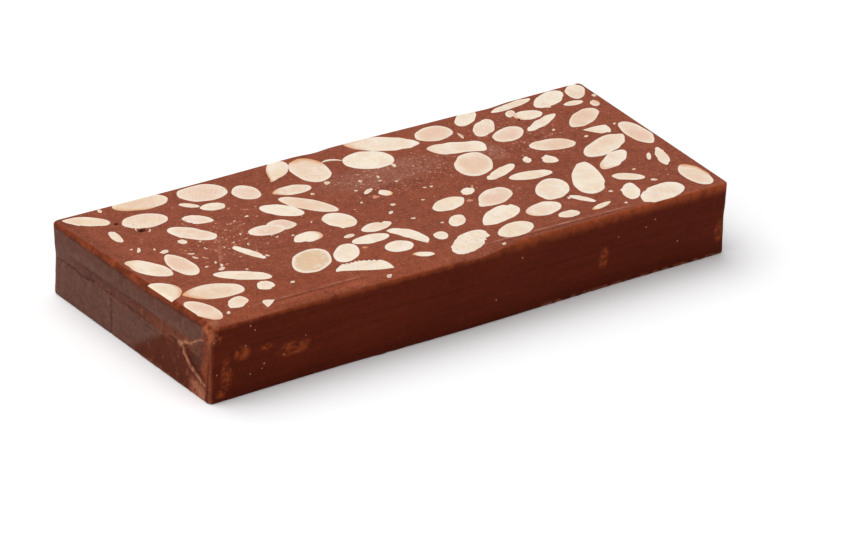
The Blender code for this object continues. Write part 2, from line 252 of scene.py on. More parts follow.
def line_distance(y, z, points):
    """The distance to a line through points."""
    nearest = np.full(np.shape(y), 1e9)
    for (y0, z0), (y1, z1) in zip(points, points[1:]):
        span = (y1 - y0) ** 2 + (z1 - z0) ** 2
        share = np.clip(((y - y0) * (y1 - y0) + (z - z0) * (z1 - z0)) / span, 0.0, 1.0)
        nearest = np.minimum(nearest, np.hypot(y - lerp(y0, y1, share), z - lerp(z0, z1, share)))
    return nearest


def inside_triangle(y, z, corners, softness):
    """1 inside a triangle and 0 outside it, with soft edges."""
    depth = np.full(np.shape(y), 1e9)
    middle = np.mean(corners, axis=0)
    for (y0, z0), (y1, z1) in zip(corners, (*corners[1:], corners[0])):
        normal = np.array((z0 - z1, y1 - y0)) / math.hypot(y1 - y0, z1 - z0)
        if np.dot(normal, middle - (y0, z0)) < 0:
            normal = -normal
        depth = np.minimum(depth, (y - y0) * normal[0] + (z - z0) * normal[1])
    return ease(depth / softness + 0.5)


def corner_y(corner, z):
    return corner.y + lerp(corner.base_dy, corner.top_dy, z / HEIGHT)


def corner_x(corner, z):
    return corner.x + lerp(corner.base_dx, corner.top_dx, z / HEIGHT)


def side_wave(share):
    return SIDE_WAVE * np.sin(3 * math.pi * share) * np.sin(math.pi * share)


def near_y(x, z, top=0.0):
    """The near long side's y, or the flat top's edge where top is 1, at the shoulder's inner side."""
    share = np.asarray(x) / LENGTH
    line = lerp(corner_y(NEAR_LEFT, z), corner_y(NEAR_RIGHT, z), share)
    return line + side_wave(share) - BULGE * np.sin(math.pi * z / HEIGHT) + top * along(NEAR_WIDTH, x)


def far_y(x, z, top=0.0):
    share = np.asarray(x) / LENGTH
    line = lerp(corner_y(FAR_LEFT, z), corner_y(FAR_RIGHT, z), share)
    dips = along(FAR_DIPS, x) * ease((z - 14.0) / 11.0)
    return line - side_wave(1 - share) + BULGE * np.sin(math.pi * z / HEIGHT) - dips - top * CRISP_WIDTH


def left_x(y, z, top=0.0):
    line = lerp(corner_x(NEAR_LEFT, z), corner_x(FAR_LEFT, z), np.asarray(y) / WIDTH)
    return line + along(WAIST, z) + top * along(LEFT_WIDTH, y)


def right_x(y, z, top=0.0):
    line = lerp(corner_x(NEAR_RIGHT, z), corner_x(FAR_RIGHT, z), np.asarray(y) / WIDTH)
    return line - along(WAIST, z) - top * CRISP_WIDTH


def crease_mark(y, z, crease):
    """1 along a crease and 0 off it, crumpled and uneven as folded paper leaves it."""
    crumpled_y = y + 0.25 * waves(52, 3.1)(z + 0.3 * y)
    crumpled_z = z + 0.3 * waves(51, 4.3)(y) + 0.14 * waves(53, 1.5)(y + 0.5 * z)
    uneven = 0.75 + 0.35 * waves(54, 3.4)(y + z)
    return mound(line_distance(crumpled_y, crumpled_z, crease.points), crease.width * uneven) * uneven


def end_relief(y, z):
    """How far the folded end's marks go into its face."""
    relief = FACET_DEPTH * inside_triangle(y, z, FACET, FACET_SOFTNESS)
    for crease in CREASES:
        relief = relief + crease.depth * crease_mark(y, z, crease)
    for ring_y, ring_z, ring_radius in RING_MARKS:
        relief = relief + RING_DEPTH * mound(np.hypot(y - ring_y, z - ring_z) - ring_radius, 0.25)
    return relief * ease((y - 1.0) / 2.0) * ease((WIDTH - 1.0 - y) / 2.0)


def near_relief(x, z):
    """The near side's faint seam, and the ragged lip along its base."""
    seam = lerp(15.4, 13.0, np.clip((x - 18.0) / 132.0, 0.0, 1.0))
    step = SEAM_STEP * ease((seam - z) / 0.5 + 0.5) * ease((x - 8.0) / 10.0) * ease((190.0 - x) / 30.0)
    ragged = 0.5 + 0.5 * waves(3, 5.0)(x)
    where = np.maximum(mound(x - 66.0, 5.0), ease((x - 122.0) / 14.0))
    lip = 0.3 * where * ragged * ease((0.9 - z) / 0.7) * ease((197.0 - x) / 3.0)
    return step - lip


def groove(x, y):
    """The faint groove along the near shoulder, in two stretches."""
    left_line = lerp(5.4, 4.7, (x - 20.0) / 45.0)
    left = mound(y - left_line, 0.4) * ease((x - 16.0) / 8.0) * ease((60.0 - x) / 12.0)
    right_line = lerp(4.2, 2.0, np.clip((x - 100.0) / 90.0, 0.0, 1.0))
    right = mound(y - right_line, 0.35) * ease((x - 96.0) / 12.0) * ease((190.0 - x) / 12.0)
    return GROOVE_DEPTH * (left + right)


def shoulder_drop(x, y):
    """How far the rounded edges lie below the flat top."""
    sides = (
        (y - near_y(x, HEIGHT), along(NEAR_WIDTH, x), along(NEAR_FALL, x)),
        (far_y(x, HEIGHT) - y, CRISP_WIDTH, CRISP_FALL),
        (x - left_x(y, HEIGHT), along(LEFT_WIDTH, y), along(LEFT_FALL, y)),
        (right_x(y, HEIGHT) - x, CRISP_WIDTH, CRISP_FALL),
    )
    drop = np.zeros(np.shape(x))
    for inwards, width, fall in sides:
        share = np.clip(1.0 - inwards / width, 0.0, 1.0)
        drop = np.maximum(drop, fall * (1.0 - np.sqrt(1.0 - share * share)))
    return drop


def unevenness(x, y):
    """The knife's slow waver over the cut top."""
    return 0.04 * waves(11, 31.0)(0.8 * x + 0.6 * y) * waves(12, 23.0)(0.6 * x - 0.8 * y)


def face_height(x, y):
    """The height of the knife's cut through the almonds, rounded off at the edges."""
    return HEIGHT - shoulder_drop(x, y) + unevenness(x, y)


def top_height(x, y):
    """The height of the chocolate's cut top."""
    return face_height(x, y) - groove(x, y)


def pit_depth(x, y):
    """How deep the air bubbles are, and how far their lips stand up."""
    depth = np.zeros(np.shape(x))
    for pit in PITS:
        turn = math.radians(pit.turn)
        u = ((x - pit.x) * math.cos(turn) + (y - pit.y) * math.sin(turn)) / (pit.length / 2)
        v = ((y - pit.y) * math.cos(turn) - (x - pit.x) * math.sin(turn)) / (pit.width / 2)
        reach = np.hypot(u, v)
        depth = depth + pit.depth * ease((1.15 - reach) / 0.5) - LIP_HEIGHT * mound(reach - 1.25, 0.2)
    return depth


def to_frame(points):
    """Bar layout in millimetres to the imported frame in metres."""
    points = np.array(points, float)
    points[:, 0] -= MIDDLE[0]
    points[:, 1] -= MIDDLE[1]
    return points * MM


class Outline:
    """The slab's outline as a row of points, counter-clockwise from above, the same at each height."""

    def __init__(self):
        turns = np.linspace(0.0, math.pi / 2, CORNER_STEPS + 1)
        out, back = 1 - np.cos(turns), 1 - np.sin(turns)
        self.parts = []
        start = 0
        corners = (
            (NEAR_LEFT, left_x, near_y, 1, 1, False),
            (NEAR_RIGHT, right_x, near_y, -1, 1, True),
            (FAR_RIGHT, right_x, far_y, -1, -1, False),
            (FAR_LEFT, left_x, far_y, 1, -1, True),
        )
        for n, (corner, edge_x, edge_y, sign_x, sign_y, turned) in enumerate(corners):
            dx, dy = (out[::-1], back[::-1]) if turned else (out, back)
            arc = slice(start, start + CORNER_STEPS + 1)
            count = SHORT_POINTS if n % 2 else LONG_POINTS
            side = slice(arc.stop, arc.stop + count)
            self.parts.append((corner, edge_x, edge_y, sign_x, sign_y, dx, dy, arc, side))
            start = side.stop
        self.count = start
        self.near, self.right, self.far, self.left = (part[8] for part in self.parts)

    def at(self, heights, top=0.0, shrink=0.0):
        """The row's x and y at these heights, one for each point."""
        x, y = np.zeros(self.count), np.zeros(self.count)
        for corner, edge_x, edge_y, sign_x, sign_y, dx, dy, arc, _ in self.parts:
            z = heights[arc]
            rise = 1.0 if top else ease((z - 17.0) / 7.0)
            radius = lerp(corner.radius, corner.top_radius, rise)
            place_x, place_y = corner_x(corner, z), corner_y(corner, z)
            x[arc] = edge_x(place_y + sign_y * dy * radius, z, top) + sign_x * (dx * radius + shrink)
            y[arc] = edge_y(place_x + sign_x * dx * radius, z, top) + sign_y * (dy * radius + shrink)
        for n, (*_, arc, side) in enumerate(self.parts):
            z = heights[side]
            last = self.parts[(n + 1) % 4][7].start
            first = arc.stop - 1
            count = side.stop - side.start
            share = np.arange(1, count + 1) / (count + 1)
            if n % 2:
                edge, sign = ((right_x, -1), (left_x, 1))[n // 2]
                y[side] = lerp(y[first], y[last], share)
                x[side] = edge(y[side], z, top) + sign * shrink
            else:
                edge, sign = ((near_y, 1), (far_y, -1))[n // 2]
                x[side] = lerp(x[first], x[last], share)
                y[side] = edge(x[side], z, top) + sign * shrink
        return x, y

    def fall(self):
        """How far the shoulder falls at each point."""
        x, y = self.at(np.full(self.count, HEIGHT))
        fall = np.full(self.count, np.nan)
        fall[self.near] = along(NEAR_FALL, x[self.near])
        fall[self.left] = along(LEFT_FALL, y[self.left])
        fall[self.far] = CRISP_FALL
        fall[self.right] = CRISP_FALL
        known = ~np.isnan(fall)
        index = np.arange(self.count)
        return np.interp(index, index[known], fall[known], period=self.count)


def slab_levels(row):
    """The slab's rows of points from base to flat top, and how far round the shoulder each is."""
    level = np.ones(row.count)
    levels = []
    for turn in np.linspace(0.0, math.pi / 2, 4)[:-1]:
        inset = BASE_RADIUS * (1 - math.sin(turn))
        height = BASE_RADIUS * (1 - math.cos(turn))
        x, y = row.at(level * height, shrink=inset)
        levels.append((x, y, level * height, 0.0))
    fall = row.fall()
    wall_top = HEIGHT - fall
    for n in range(WALL_LEVELS + 1):
        z = lerp(BASE_RADIUS, wall_top, n / WALL_LEVELS)
        x, y = row.at(z)
        levels.append((x, y, z, 0.0))
    for x, y, z, _ in levels:
        x[row.left] += end_relief(y[row.left], z[row.left])
        y[row.near] += near_relief(x[row.near], z[row.near])
    wall_x, wall_y, _, _ = levels[-1]
    flat_x, flat_y = row.at(level * HEIGHT, top=1.0)
    flat_z = top_height(flat_x, flat_y)
    for turn in np.linspace(0.0, math.pi / 2, SHOULDER_LEVELS + 1)[1:]:
        share = 1 - math.cos(turn)
        x, y = lerp(wall_x, flat_x, share), lerp(wall_y, flat_y, share)
        z = lerp(wall_top, flat_z, math.sin(turn))
        levels.append((x, y, z, turn / (math.pi / 2)))
    return levels


def top_patch(row, x, y):
    """The indices and places of a grid that fills the flat top between the corners of its outline."""
    index = np.arange(row.count)
    middle = CORNER_STEPS // 2
    starts = [part[7].start + middle for part in row.parts]
    near = index[starts[0]: starts[1] + 1]
    right = index[starts[1]: starts[2] + 1]
    far = index[starts[2]: starts[3] + 1][::-1]
    left = np.append(index[starts[3]:], index[: starts[0] + 1])[::-1]
    across = np.linspace(0, 1, len(near))[:, None]
    up = np.linspace(0, 1, len(left))[None, :]
    grids = []
    for value in (x, y):
        sides = (1 - up) * value[near][:, None] + up * value[far][:, None]
        ends = (1 - across) * value[left][None, :] + across * value[right][None, :]
        corners = (1 - across) * ((1 - up) * value[near[0]] + up * value[far[0]])
        corners = corners + across * ((1 - up) * value[near[-1]] + up * value[far[-1]])
        grids.append(sides + ends - corners)
    return near, right, far, left, grids


def mesh_object(name, points, faces, material, closed=True):
    """A mesh object whose points are in the bar's layout."""
    mesh = bpy.data.meshes.new(name)
    mesh.from_pydata(to_frame(points).tolist(), [], faces)
    mesh.update()
    if closed:
        shell = bmesh.new()
        shell.from_mesh(mesh)
        bmesh.ops.recalc_face_normals(shell, faces=shell.faces)
        shell.to_mesh(mesh)
        shell.free()
    mesh.materials.append(material)
    made = bpy.data.objects.new(name, mesh)
    bpy.context.scene.collection.objects.link(made)
    return made


def store(mesh, name, values, kind="FLOAT"):
    """Keeps a value for each point of a mesh, for its material to read."""
    attribute = mesh.attributes.new(name, kind, "POINT")
    field = {"FLOAT": "value", "FLOAT_VECTOR": "vector", "FLOAT_COLOR": "color"}[kind]
    attribute.data.foreach_set(field, np.asarray(values, np.float32).ravel())


def bar_points(mesh):
    """A mesh's points in the bar's layout."""
    flat = np.zeros(len(mesh.vertices) * 3)
    mesh.vertices.foreach_get("co", flat)
    return flat.reshape(-1, 3) / MM + (*MIDDLE, 0.0)


def by_a_pit(x, y, lengths, margin):
    """Whether a place is within so many lengths and a margin of an air bubble's middle."""
    return any(math.hypot(x - pit.x, y - pit.y) < pit.length * lengths + margin for pit in PITS)


def refine_pits(mesh):
    """Cuts the faces around the air bubbles finer and presses the bubbles in."""
    shell = bmesh.new()
    shell.from_mesh(mesh)
    for _ in range(2):
        wanted = []
        for edge in shell.edges:
            middle = (edge.verts[0].co + edge.verts[1].co) / 2 / MM
            x, y = middle.x + MIDDLE[0], middle.y + MIDDLE[1]
            if middle.z > HEIGHT - 1 and by_a_pit(x, y, 0.5, 0.9):
                wanted.append(edge)
        bmesh.ops.subdivide_edges(shell, edges=wanted, cuts=1, use_grid_fill=True)
    bmesh.ops.triangulate(shell, faces=[face for face in shell.faces if 4 < len(face.verts) < 20])
    for vertex in shell.verts:
        x, y = vertex.co.x / MM + MIDDLE[0], vertex.co.y / MM + MIDDLE[1]
        if vertex.co.z > (HEIGHT - 1) * MM and by_a_pit(x, y, 1.0, 1.0):
            vertex.co.z -= float(pit_depth(x, y)) * MM
    shell.to_mesh(mesh)
    shell.free()


def build_slab(material):
    """The moulded slab with its cut top, soft shoulders, paper folds and air bubbles."""
    row = Outline()
    levels = slab_levels(row)
    points = [np.column_stack((x, y, z)) for x, y, z, _ in levels]
    shares = [np.full(row.count, share) for *_, share in levels]
    count = row.count
    faces = []
    for n in range(len(levels) - 1):
        low, high = n * count, (n + 1) * count
        for i in range(count):
            j = (i + 1) % count
            faces.append((low + i, low + j, high + j, high + i))
    flat_x, flat_y, flat_z, _ = levels[-1]
    near, right, far, left, (grid_x, grid_y) = top_patch(row, flat_x, flat_y)
    last = (len(levels) - 1) * count
    grid = np.zeros(grid_x.shape, int)
    grid[:, 0], grid[:, -1], grid[0, :], grid[-1, :] = near + last, far + last, left + last, right + last
    inner_x, inner_y = grid_x[1:-1, 1:-1], grid_y[1:-1, 1:-1]
    grid[1:-1, 1:-1] = len(levels) * count + np.arange(inner_x.size).reshape(inner_x.shape)
    inner = (inner_x, inner_y, top_height(inner_x, inner_y))
    points.append(np.column_stack([value.ravel() for value in inner]))
    shares.append(np.ones(inner_x.size))
    quads = (grid[:-1, :-1], grid[1:, :-1], grid[1:, 1:], grid[:-1, 1:])
    faces.extend(np.stack(quads, axis=-1).reshape(-1, 4).tolist())
    faces.append(tuple(reversed(range(count))))
    slab = mesh_object("chocolate_bar", np.vstack(points), faces, material)
    store(slab.data, "cut", np.concatenate(shares))
    refine_pits(slab.data)
    slab.data.shade_smooth()
    mark_slab(slab.data)
    return slab


def end_painted_sheen(y, z, folds, triangle):
    """The painted greyish reflection of the pale floor: weak on level folds, none below the slanting fold
    or on the triangle.
    """
    slope = y - (24.7 + (11.3 - z) * 1.34)
    unsheened = ease(-slope / 6.0 + 0.5) * ease((12.8 - z) / 2.5 + 0.5)
    dull = 0.75 * mound(np.hypot((y - 7.0) / 1.2, (z - 13.0 + (7.0 - y) * 0.4) / 1.3), 2.6)
    upper = ease((z - 14.5) / 2.0)
    fading = ease((y - lerp(4.0, 2.0, upper)) / lerp(9.0, 3.0, upper))
    film = (1.0 - (0.48 + 0.4 * ease((44.0 - y) / 12.0)) * folds) * (1.0 - unsheened) * fading
    film = film * (1.0 - 0.25 * ease((z - 17.5) / 4.0))
    return np.maximum(film * (1.0 - triangle), dull)


def end_marks(y, z, folds, triangle):
    """Where the end is a warmer brown, on worn ridges and where the painted sheen gives way, and how dark
    the painted shade in the creases and rings is.
    """
    warm = 0.62 * triangle * ease((6.5 - y) / 3.5)
    warm = np.maximum(warm, 0.9 * ease((10.2 - y) / 3.8) * ease((5.9 - z + (y - 1.0) * 0.12) / 3.2))
    warm = np.maximum(warm, 0.28 * folds * ease((42.0 - y) / 16.0))
    warm = np.maximum(warm, 0.5 * ease((4.5 - y) / 3.0))
    dark = np.zeros(len(y))
    for crease in CREASES:
        mark = abs(crease.shade) * crease_mark(y, z, crease)
        if crease.shade < 0:
            warm = np.maximum(warm, mark)
        else:
            dark = np.maximum(dark, mark)
    for ring_y, ring_z, ring_radius in RING_MARKS:
        dark = np.maximum(dark, 0.45 * mound(np.hypot(y - ring_y, z - ring_z) - ring_radius, 0.3))
    return warm, dark


def corner_highlight(x, y, z):
    """A painted highlight down the upright edge between the folded end and the near side."""
    height = np.clip(z, 0, HEIGHT)
    centre_x = corner_x(NEAR_LEFT, height) + NEAR_LEFT.radius
    centre_y = corner_y(NEAR_LEFT, height) + NEAR_LEFT.radius
    turn = np.degrees(np.arctan2(centre_y - y, centre_x - x))
    corner = (np.hypot(x - centre_x, y - centre_y) < 2.4) & (z < HEIGHT - 1.4)
    return np.where(corner, mound(turn - 36.0, 26.0), 0.0)


def mark_slab(mesh):
    """Stores where the slab is folded, its painted sheen, warmer patches, painted shade and painted
    highlights, for its material.
    """
    x, y, z = bar_points(mesh).T
    height = np.clip(z, 0, HEIGHT)
    from_end = x - left_x(y, height)
    from_side = y - near_y(x, height)
    at_end = ease((2.4 - from_end) / 1.2) * ease((y - 0.2) / 1.4)
    band = np.where(from_end < from_side, along(END_HIGHLIGHT_BAND, y), along(NEAR_HIGHLIGHT_BAND, x))
    ragged = 0.35 * waves(41, 6.0)(x + y) + 0.2 * waves(42, 2.3)(x + y)
    fade = np.where(from_end < from_side, 2.0, along(NEAR_HIGHLIGHT_FADE, x))
    rim = ease((z - band - ragged) / fade + 0.42)
    folds = ease((16.9 - z) / 0.8 + 0.5) * ease((z - 12.3) / 0.8 + 0.5) * ease((76.0 - y) / 10.0)
    triangle = inside_triangle(y, z, FACET, FACET_SOFTNESS)
    warm, dark = end_marks(y, z, folds, triangle)
    pit_shade = ease(pit_depth(x, y) / 0.5) * (from_end > 3.0)
    marks = {
        "end": at_end,
        # A painted reflection of the pale floor, greyish on the folded end.
        "film": end_painted_sheen(y, z, folds, triangle) * (1.0 - rim),
        "warm": warm,
        # Painted shade in the air bubbles' pits, and in the creases and rings on the end.
        "hollow": np.where(z > HEIGHT - 2.2, pit_shade, dark * at_end),
        # A painted orange-brown highlight under the top edge.
        "rim_band": rim,
        # A painted highlight down the upright corner between the folded end and the near side.
        "worn": corner_highlight(x, y, z),
    }
    for name, values in marks.items():
        store(mesh, name, values)


# ----------------------------------------------------------------------------
# The almonds
# ----------------------------------------------------------------------------


class Look(NamedTuple):
    """How a cut almond looks: from 0, near white, to 1, tan, with an orange rim towards stain_turn."""

    tone: float = 0.35
    pink: float = 0.15
    grain: float = 0.2
    stain: float = 0.0
    stain_turn: float = 0.0


LOOKS = {
    1: Look(0.65, 0.3, 0.3),
    2: Look(0.75, 0.3, 0.8, 0.9, -115),
    3: Look(0.3, 0.5, 1.0),
    4: Look(0.5, 0.15, 0.9),
    5: Look(0.3, 0.7, 0.3),
    6: Look(0.35, 0.1, 0.5, 0.4, 130),
    7: Look(0.6, 0.8, 0.2),
    8: Look(0.6, 0.1, 0.3, 0.7, -20),
    9: Look(0.7, 0.3, 0.3, 0.9, 190),
    10: Look(0.6, 0.9, 0.2, 0.5, 240),
    11: Look(0.35, 0.1, 0.2),
    12: Look(0.3, 0.5, 1.0),
    13: Look(0.45, 0.0, 0.3, 1.0, 160),
    14: Look(0.35, 0.3, 0.8, 0.9, 60),
    15: Look(0.3, 0.3, 0.5, 0.8, 180),
    16: Look(0.0, 0.1, 0.2),
    17: Look(0.65, 0.6, 0.5),
    18: Look(0.45, 1.0, 0.3),
    20: Look(0.15, 0.1, 0.2),
    21: Look(0.2, 0.2, 0.3, 0.7, 160),
    22: Look(0.7, 0.9, 0.3),
    23: Look(0.15, 0.4, 0.3, 0.3, 150),
    24: Look(0.7, 0.7, 0.2),
    25: Look(0.35, 0.2, 0.2),
    26: Look(0.0),
    27: Look(0.2, 0.2, 0.9),
    28: Look(0.55, 0.9, 0.4),
    29: Look(0.15),
    30: Look(0.15),
    31: Look(0.05, 0.2, 0.4),
    32: Look(0.3, 0.3, 0.3),
    33: Look(0.75, 0.8, 0.3),
    34: Look(0.7, 0.7, 0.2),
    35: Look(0.5, 1.0, 0.3),
    36: Look(0.45, 0.4, 0.4),
    37: Look(0.0, 0.2, 0.3, 0.5, 200),
    38: Look(0.2),
    40: Look(0.15),
    41: Look(0.15, 0.3, 0.4),
    42: Look(0.4, 0.6, 0.3, 1.0, 27),
    45: Look(0.5, 0.9, 0.3),
    46: Look(0.1, 0.1, 0.2),
    47: Look(0.5, 0.1, 0.4),
    48: Look(0.15, 0.0, 0.7),
    49: Look(0.2, 0.4, 0.2, 0.4, 190),
    50: Look(0.2, 0.3, 0.4),
    52: Look(1.0, 0.0, 0.3),
    53: Look(0.1),
    54: Look(0.1),
    55: Look(0.25, 0.3, 0.3),
    56: Look(0.15),
    57: Look(0.1),
    58: Look(0.1, 0.15, 0.2),
    59: Look(0.0, 0.0, 0.2, 0.75, -25),
}


class Dent(NamedTuple):
    """A notch in an almond's rim, or a spur where its depth is below 0."""

    almond: int
    x: float
    y: float
    radius: float
    depth: float


DENTS = (
    Dent(5, 36.8, 48.6, 1.0, -0.6),
    Dent(13, 70.6, 69.0, 1.6, -1.4),
    Dent(19, 72.7, 33.3, 0.7, -0.9),
    Dent(21, 130.2, 68.4, 1.4, -0.7),
    Dent(23, 131.5, 60.5, 2.5, -1.2),
    Dent(23, 134.0, 58.5, 3.0, -0.8),
    Dent(23, 144.6, 55.0, 2.2, -2.2),
    Dent(23, 146.0, 60.0, 2.8, -1.2),
    Dent(25, 134.5, 41.0, 0.7, 0.5),
    Dent(36, 191.6, 43.9, 0.8, -0.8),
    Dent(40, 165.1, 12.6, 0.8, -0.8),
    Dent(43, 193.0, 29.4, 0.7, 0.5),
    Dent(43, 195.0, 31.0, 0.8, -0.5),
    Dent(46, 127.0, 21.6, 0.9, 2.0),
    Dent(48, 109.1, 7.9, 0.6, -0.5),
    Dent(48, 107.7, 6.5, 0.6, 0.9),
    Dent(48, 106.4, 5.3, 0.5, 0.8),
    Dent(55, 85.4, 31.2, 0.7, 0.8),
    Dent(55, 87.6, 29.6, 0.8, -0.4),
    Dent(59, 57.2, 31.4, 1.0, 0.9),
    Dent(59, 54.4, 32.6, 0.9, -0.5),
)
# How far the rims of the more broken almonds stray.
JAGGED = {48: 0.2, 41: 0.2, 43: 0.2, 32: 0.12, 31: 0.12, 4: 0.06, 47: 0.08}


class Shift(NamedTuple):
    """How an almond's outline departs from its packed one: in place, turn, length and width."""

    dx: float
    dy: float
    turn: float = 0.0
    along: float = 1.0
    across: float = 1.0


SHIFTS = {
    5: Shift(0.0, 0.1, 0.0, 0.96, 0.98),
    6: Shift(0.2, -0.3, 0.0, 1.07, 1.0),
    9: Shift(0.0, 0.0, 0.0, 1.08, 1.03),
    10: Shift(-0.6, 0.0, 0.0, 1.0, 1.05),
    16: Shift(0.6, -0.2, 0.0, 0.94, 1.08),
    17: Shift(-0.4, 0.0),
    20: Shift(-0.4, 0.0),
    22: Shift(-0.3, 0.0, 0.0, 0.98, 0.98),
    37: Shift(-0.7, 0.0, 0.0, 1.0, 1.22),
    40: Shift(-0.3, 0.0, 0.0, 1.0, 1.25),
    45: Shift(-0.6, -0.8, -4.0, 0.97, 1.08),
    47: Shift(0.4, -0.4, -3.0, 1.03, 1.0),
}


class Slice(NamedTuple):
    """A cut face: its middle, size and turn, how its outline departs from an oval, and its look.

    tip and heel sharpen (above 0) or blunt (below 0) the end that turn points to and the other end. taper
    widens the tip's half, skew moves width to the left of the turn's direction, and bend curves the slice
    that way. ragged is how far the rim strays, as a share of the size.
    """

    x: float
    y: float
    length: float
    width: float
    turn: float
    tip: float = 0.0
    heel: float = 0.0
    taper: float = 0.0
    skew: float = 0.0
    bend: float = 0.0
    ragged: float = 0.07
    look: Look = Look()


# The almonds whose outlines are drawn anew: number 46, and those that a side of the bar cuts off, drawn
# whole and ended at that side.
RECUT = {
    2: Slice(27.9, 77.1, 18.8, 9.0, -5, -0.1, 0.1, ragged=0.01),
    8: Slice(-0.6, 25.6, 15.2, 11.4, 0, ragged=0.01),
    13: Slice(76.8, 75.4, 14.6, 6.6, 50, -0.4, 0.9, 0.22, -0.3, ragged=0.01),
    21: Slice(118.2, 75.0, 24.6, 9.8, -25.5, 0.2, 0.2, 0.0, -0.05, ragged=0.01),
    26: Slice(153.3, 76.8, 12.8, 6.1, 33, ragged=0.01),
    30: Slice(172.0, 77.4, 18.2, 3.5, 8, ragged=0.02),
    31: Slice(185.8, 75.2, 15.8, 7.4, 24, ragged=0.03),
    32: Slice(197.5, 75.9, 10.8, 6.4, 52, ragged=0.03),
    35: Slice(196.0, 42.3, 17.2, 8.2, 87, 0.0, 0.25, ragged=0.01),
    41: Slice(175.8, 5.0, 18.4, 9.6, 12, ragged=0.03),
    42: Slice(193.0, 9.8, 15.2, 8.6, 86, ragged=0.01),
    46: Slice(120.6, 17.0, 17.6, 7.6, 20, -0.35, 0.5, 0.16, 0.04, ragged=0.01),
}
# How far short of the slab's sides a rim ends, and more so on the soft near and left shoulders.
SIDE_MARGIN = 0.12
NEAR_MARGIN = 0.45
LEFT_MARGIN = 0.35

# The comb-like teeth along an almond's far rim: the x where they start and end, their pitch and depth.
TEETH = {58: (58.5, 70.0, 1.5, 0.8)}

# How fine a rim is: points between two packed ones, and points round one that is drawn anew.
RIM_STEPS = 6
RECUT_POINTS = 110
# How long the straight facets and the small jags of a rim are.
FACET_LENGTH = 2.6
JAG_LENGTH = 0.7
# Where the rings of a cut face lie, as shares of the way to its rim, and the body under it: how deep its
# upright collar goes, and how long and wide its keel is, as shares of the face.
FACE_SHARES = (0.25, 0.45, 0.6, 0.7, 0.78, 0.85, 0.9, 0.94, 0.97, 0.99)
COLLAR = 0.9
KEEL_LENGTH, KEEL_WIDTH = 0.66, 0.5
# The angle past which an edge shows as one, the most that a small slice's rim is rounded down, and where
# the small slices' seeds begin, past the almonds' numbers.
SHARP_ANGLE = 42
MOST_BEVEL = 0.06
FIRST_SEED = 80


def packed_rim(node):
    """The cut face's corner points of a packed almond, in order round its middle."""
    points = bar_points(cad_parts[node].data)
    points = np.unique(np.round(points[points[:, 2] > HEIGHT - 0.05][:, :2], 3), axis=0)
    spokes = points - points.mean(axis=0)
    return points[np.argsort(np.arctan2(spokes[:, 1], spokes[:, 0]))]


def smooth_loop(points, steps):
    """A smooth closed curve through points."""
    before, after, later = (np.roll(points, shift, axis=0) for shift in (1, -1, -2))
    made = []
    for share in np.arange(steps) / steps:
        a = -0.5 * share + share**2 - 0.5 * share**3
        b = 1 - 2.5 * share**2 + 1.5 * share**3
        c = 0.5 * share + 2 * share**2 - 1.5 * share**3
        d = -0.5 * share**2 + 0.5 * share**3
        made.append(a * before + b * points + c * after + d * later)
    return np.stack(made, axis=1).reshape(-1, 2)


def grow_loop(loop, amount):
    """The loop moved outwards by an amount, one for all its points or one for each."""
    heading = np.roll(loop, -1, axis=0) - np.roll(loop, 1, axis=0)
    normal = np.column_stack((heading[:, 1], -heading[:, 0]))
    normal /= np.linalg.norm(normal, axis=1)[:, None]
    return loop + normal * np.reshape(amount, (-1, 1))


def shift_loop(loop, shift):
    """The loop moved, turned, and made longer or wider along its own long way."""
    middle = loop.mean(axis=0)
    spokes = loop - middle
    _, ways = np.linalg.eigh(np.cov(spokes.T))
    turn = math.radians(shift.turn)
    turned = np.array(((math.cos(turn), -math.sin(turn)), (math.sin(turn), math.cos(turn))))
    sized = (spokes @ ways) * (shift.across, shift.along)
    return sized @ ways.T @ turned.T + middle + (shift.dx, shift.dy)


def keep_on_slab(loop, near=SIDE_MARGIN, left=SIDE_MARGIN):
    """The loop, ended a little short of the slab's sides."""
    x, y = loop.T
    x = np.clip(x, left_x(y, HEIGHT) + left, right_x(y, HEIGHT) - SIDE_MARGIN)
    y = np.clip(y, near_y(x, HEIGHT) + near, far_y(x, HEIGHT) - SIDE_MARGIN)
    return np.column_stack((x, y))


def slice_loop(piece, count, draw):
    """The rim of a slice, uneven and a little angular where it is ragged."""
    turns = np.arange(count) / count * math.tau
    knots = np.sort([draw.uniform(0, math.tau) for _ in range(11)])
    strays = np.interp(turns, knots, [draw.uniform(-1, 1) for _ in knots], period=math.tau)
    size = 1 + piece.ragged * (strays + 0.35 * np.array([draw.uniform(-1, 1) for _ in turns]))
    u, v = np.cos(turns), np.sin(turns)
    sharpness = np.where(u > 0, piece.tip, piece.heel)
    side = np.where(v > 0, 1 + piece.skew, 1 - piece.skew)
    oval = np.sign(v) * np.abs(v) ** (1 + sharpness)
    across = piece.width / 2 * side * (1 + piece.taper * u) * oval * size + piece.bend * (1 - u * u)
    reach = piece.length / 2 * u * size
    turn = math.radians(piece.turn)
    x = piece.x + reach * math.cos(turn) - across * math.sin(turn)
    y = piece.y + reach * math.sin(turn) + across * math.cos(turn)
    return np.column_stack((x, y))


def nut_faces(start, count, rings):
    """The faces over rings of points, from the middle of the cut face to the bottom."""
    bottom = start + 1 + rings * count
    faces = []
    for i in range(count):
        j = (i + 1) % count
        faces.append((start, start + 1 + i, start + 1 + j))
        for inner in range(start + 1, bottom - count, count):
            outer = inner + count
            faces.append((inner + i, outer + i, outer + j, inner + j))
        faces.append((bottom - count + j, bottom - count + i, bottom))
    return faces


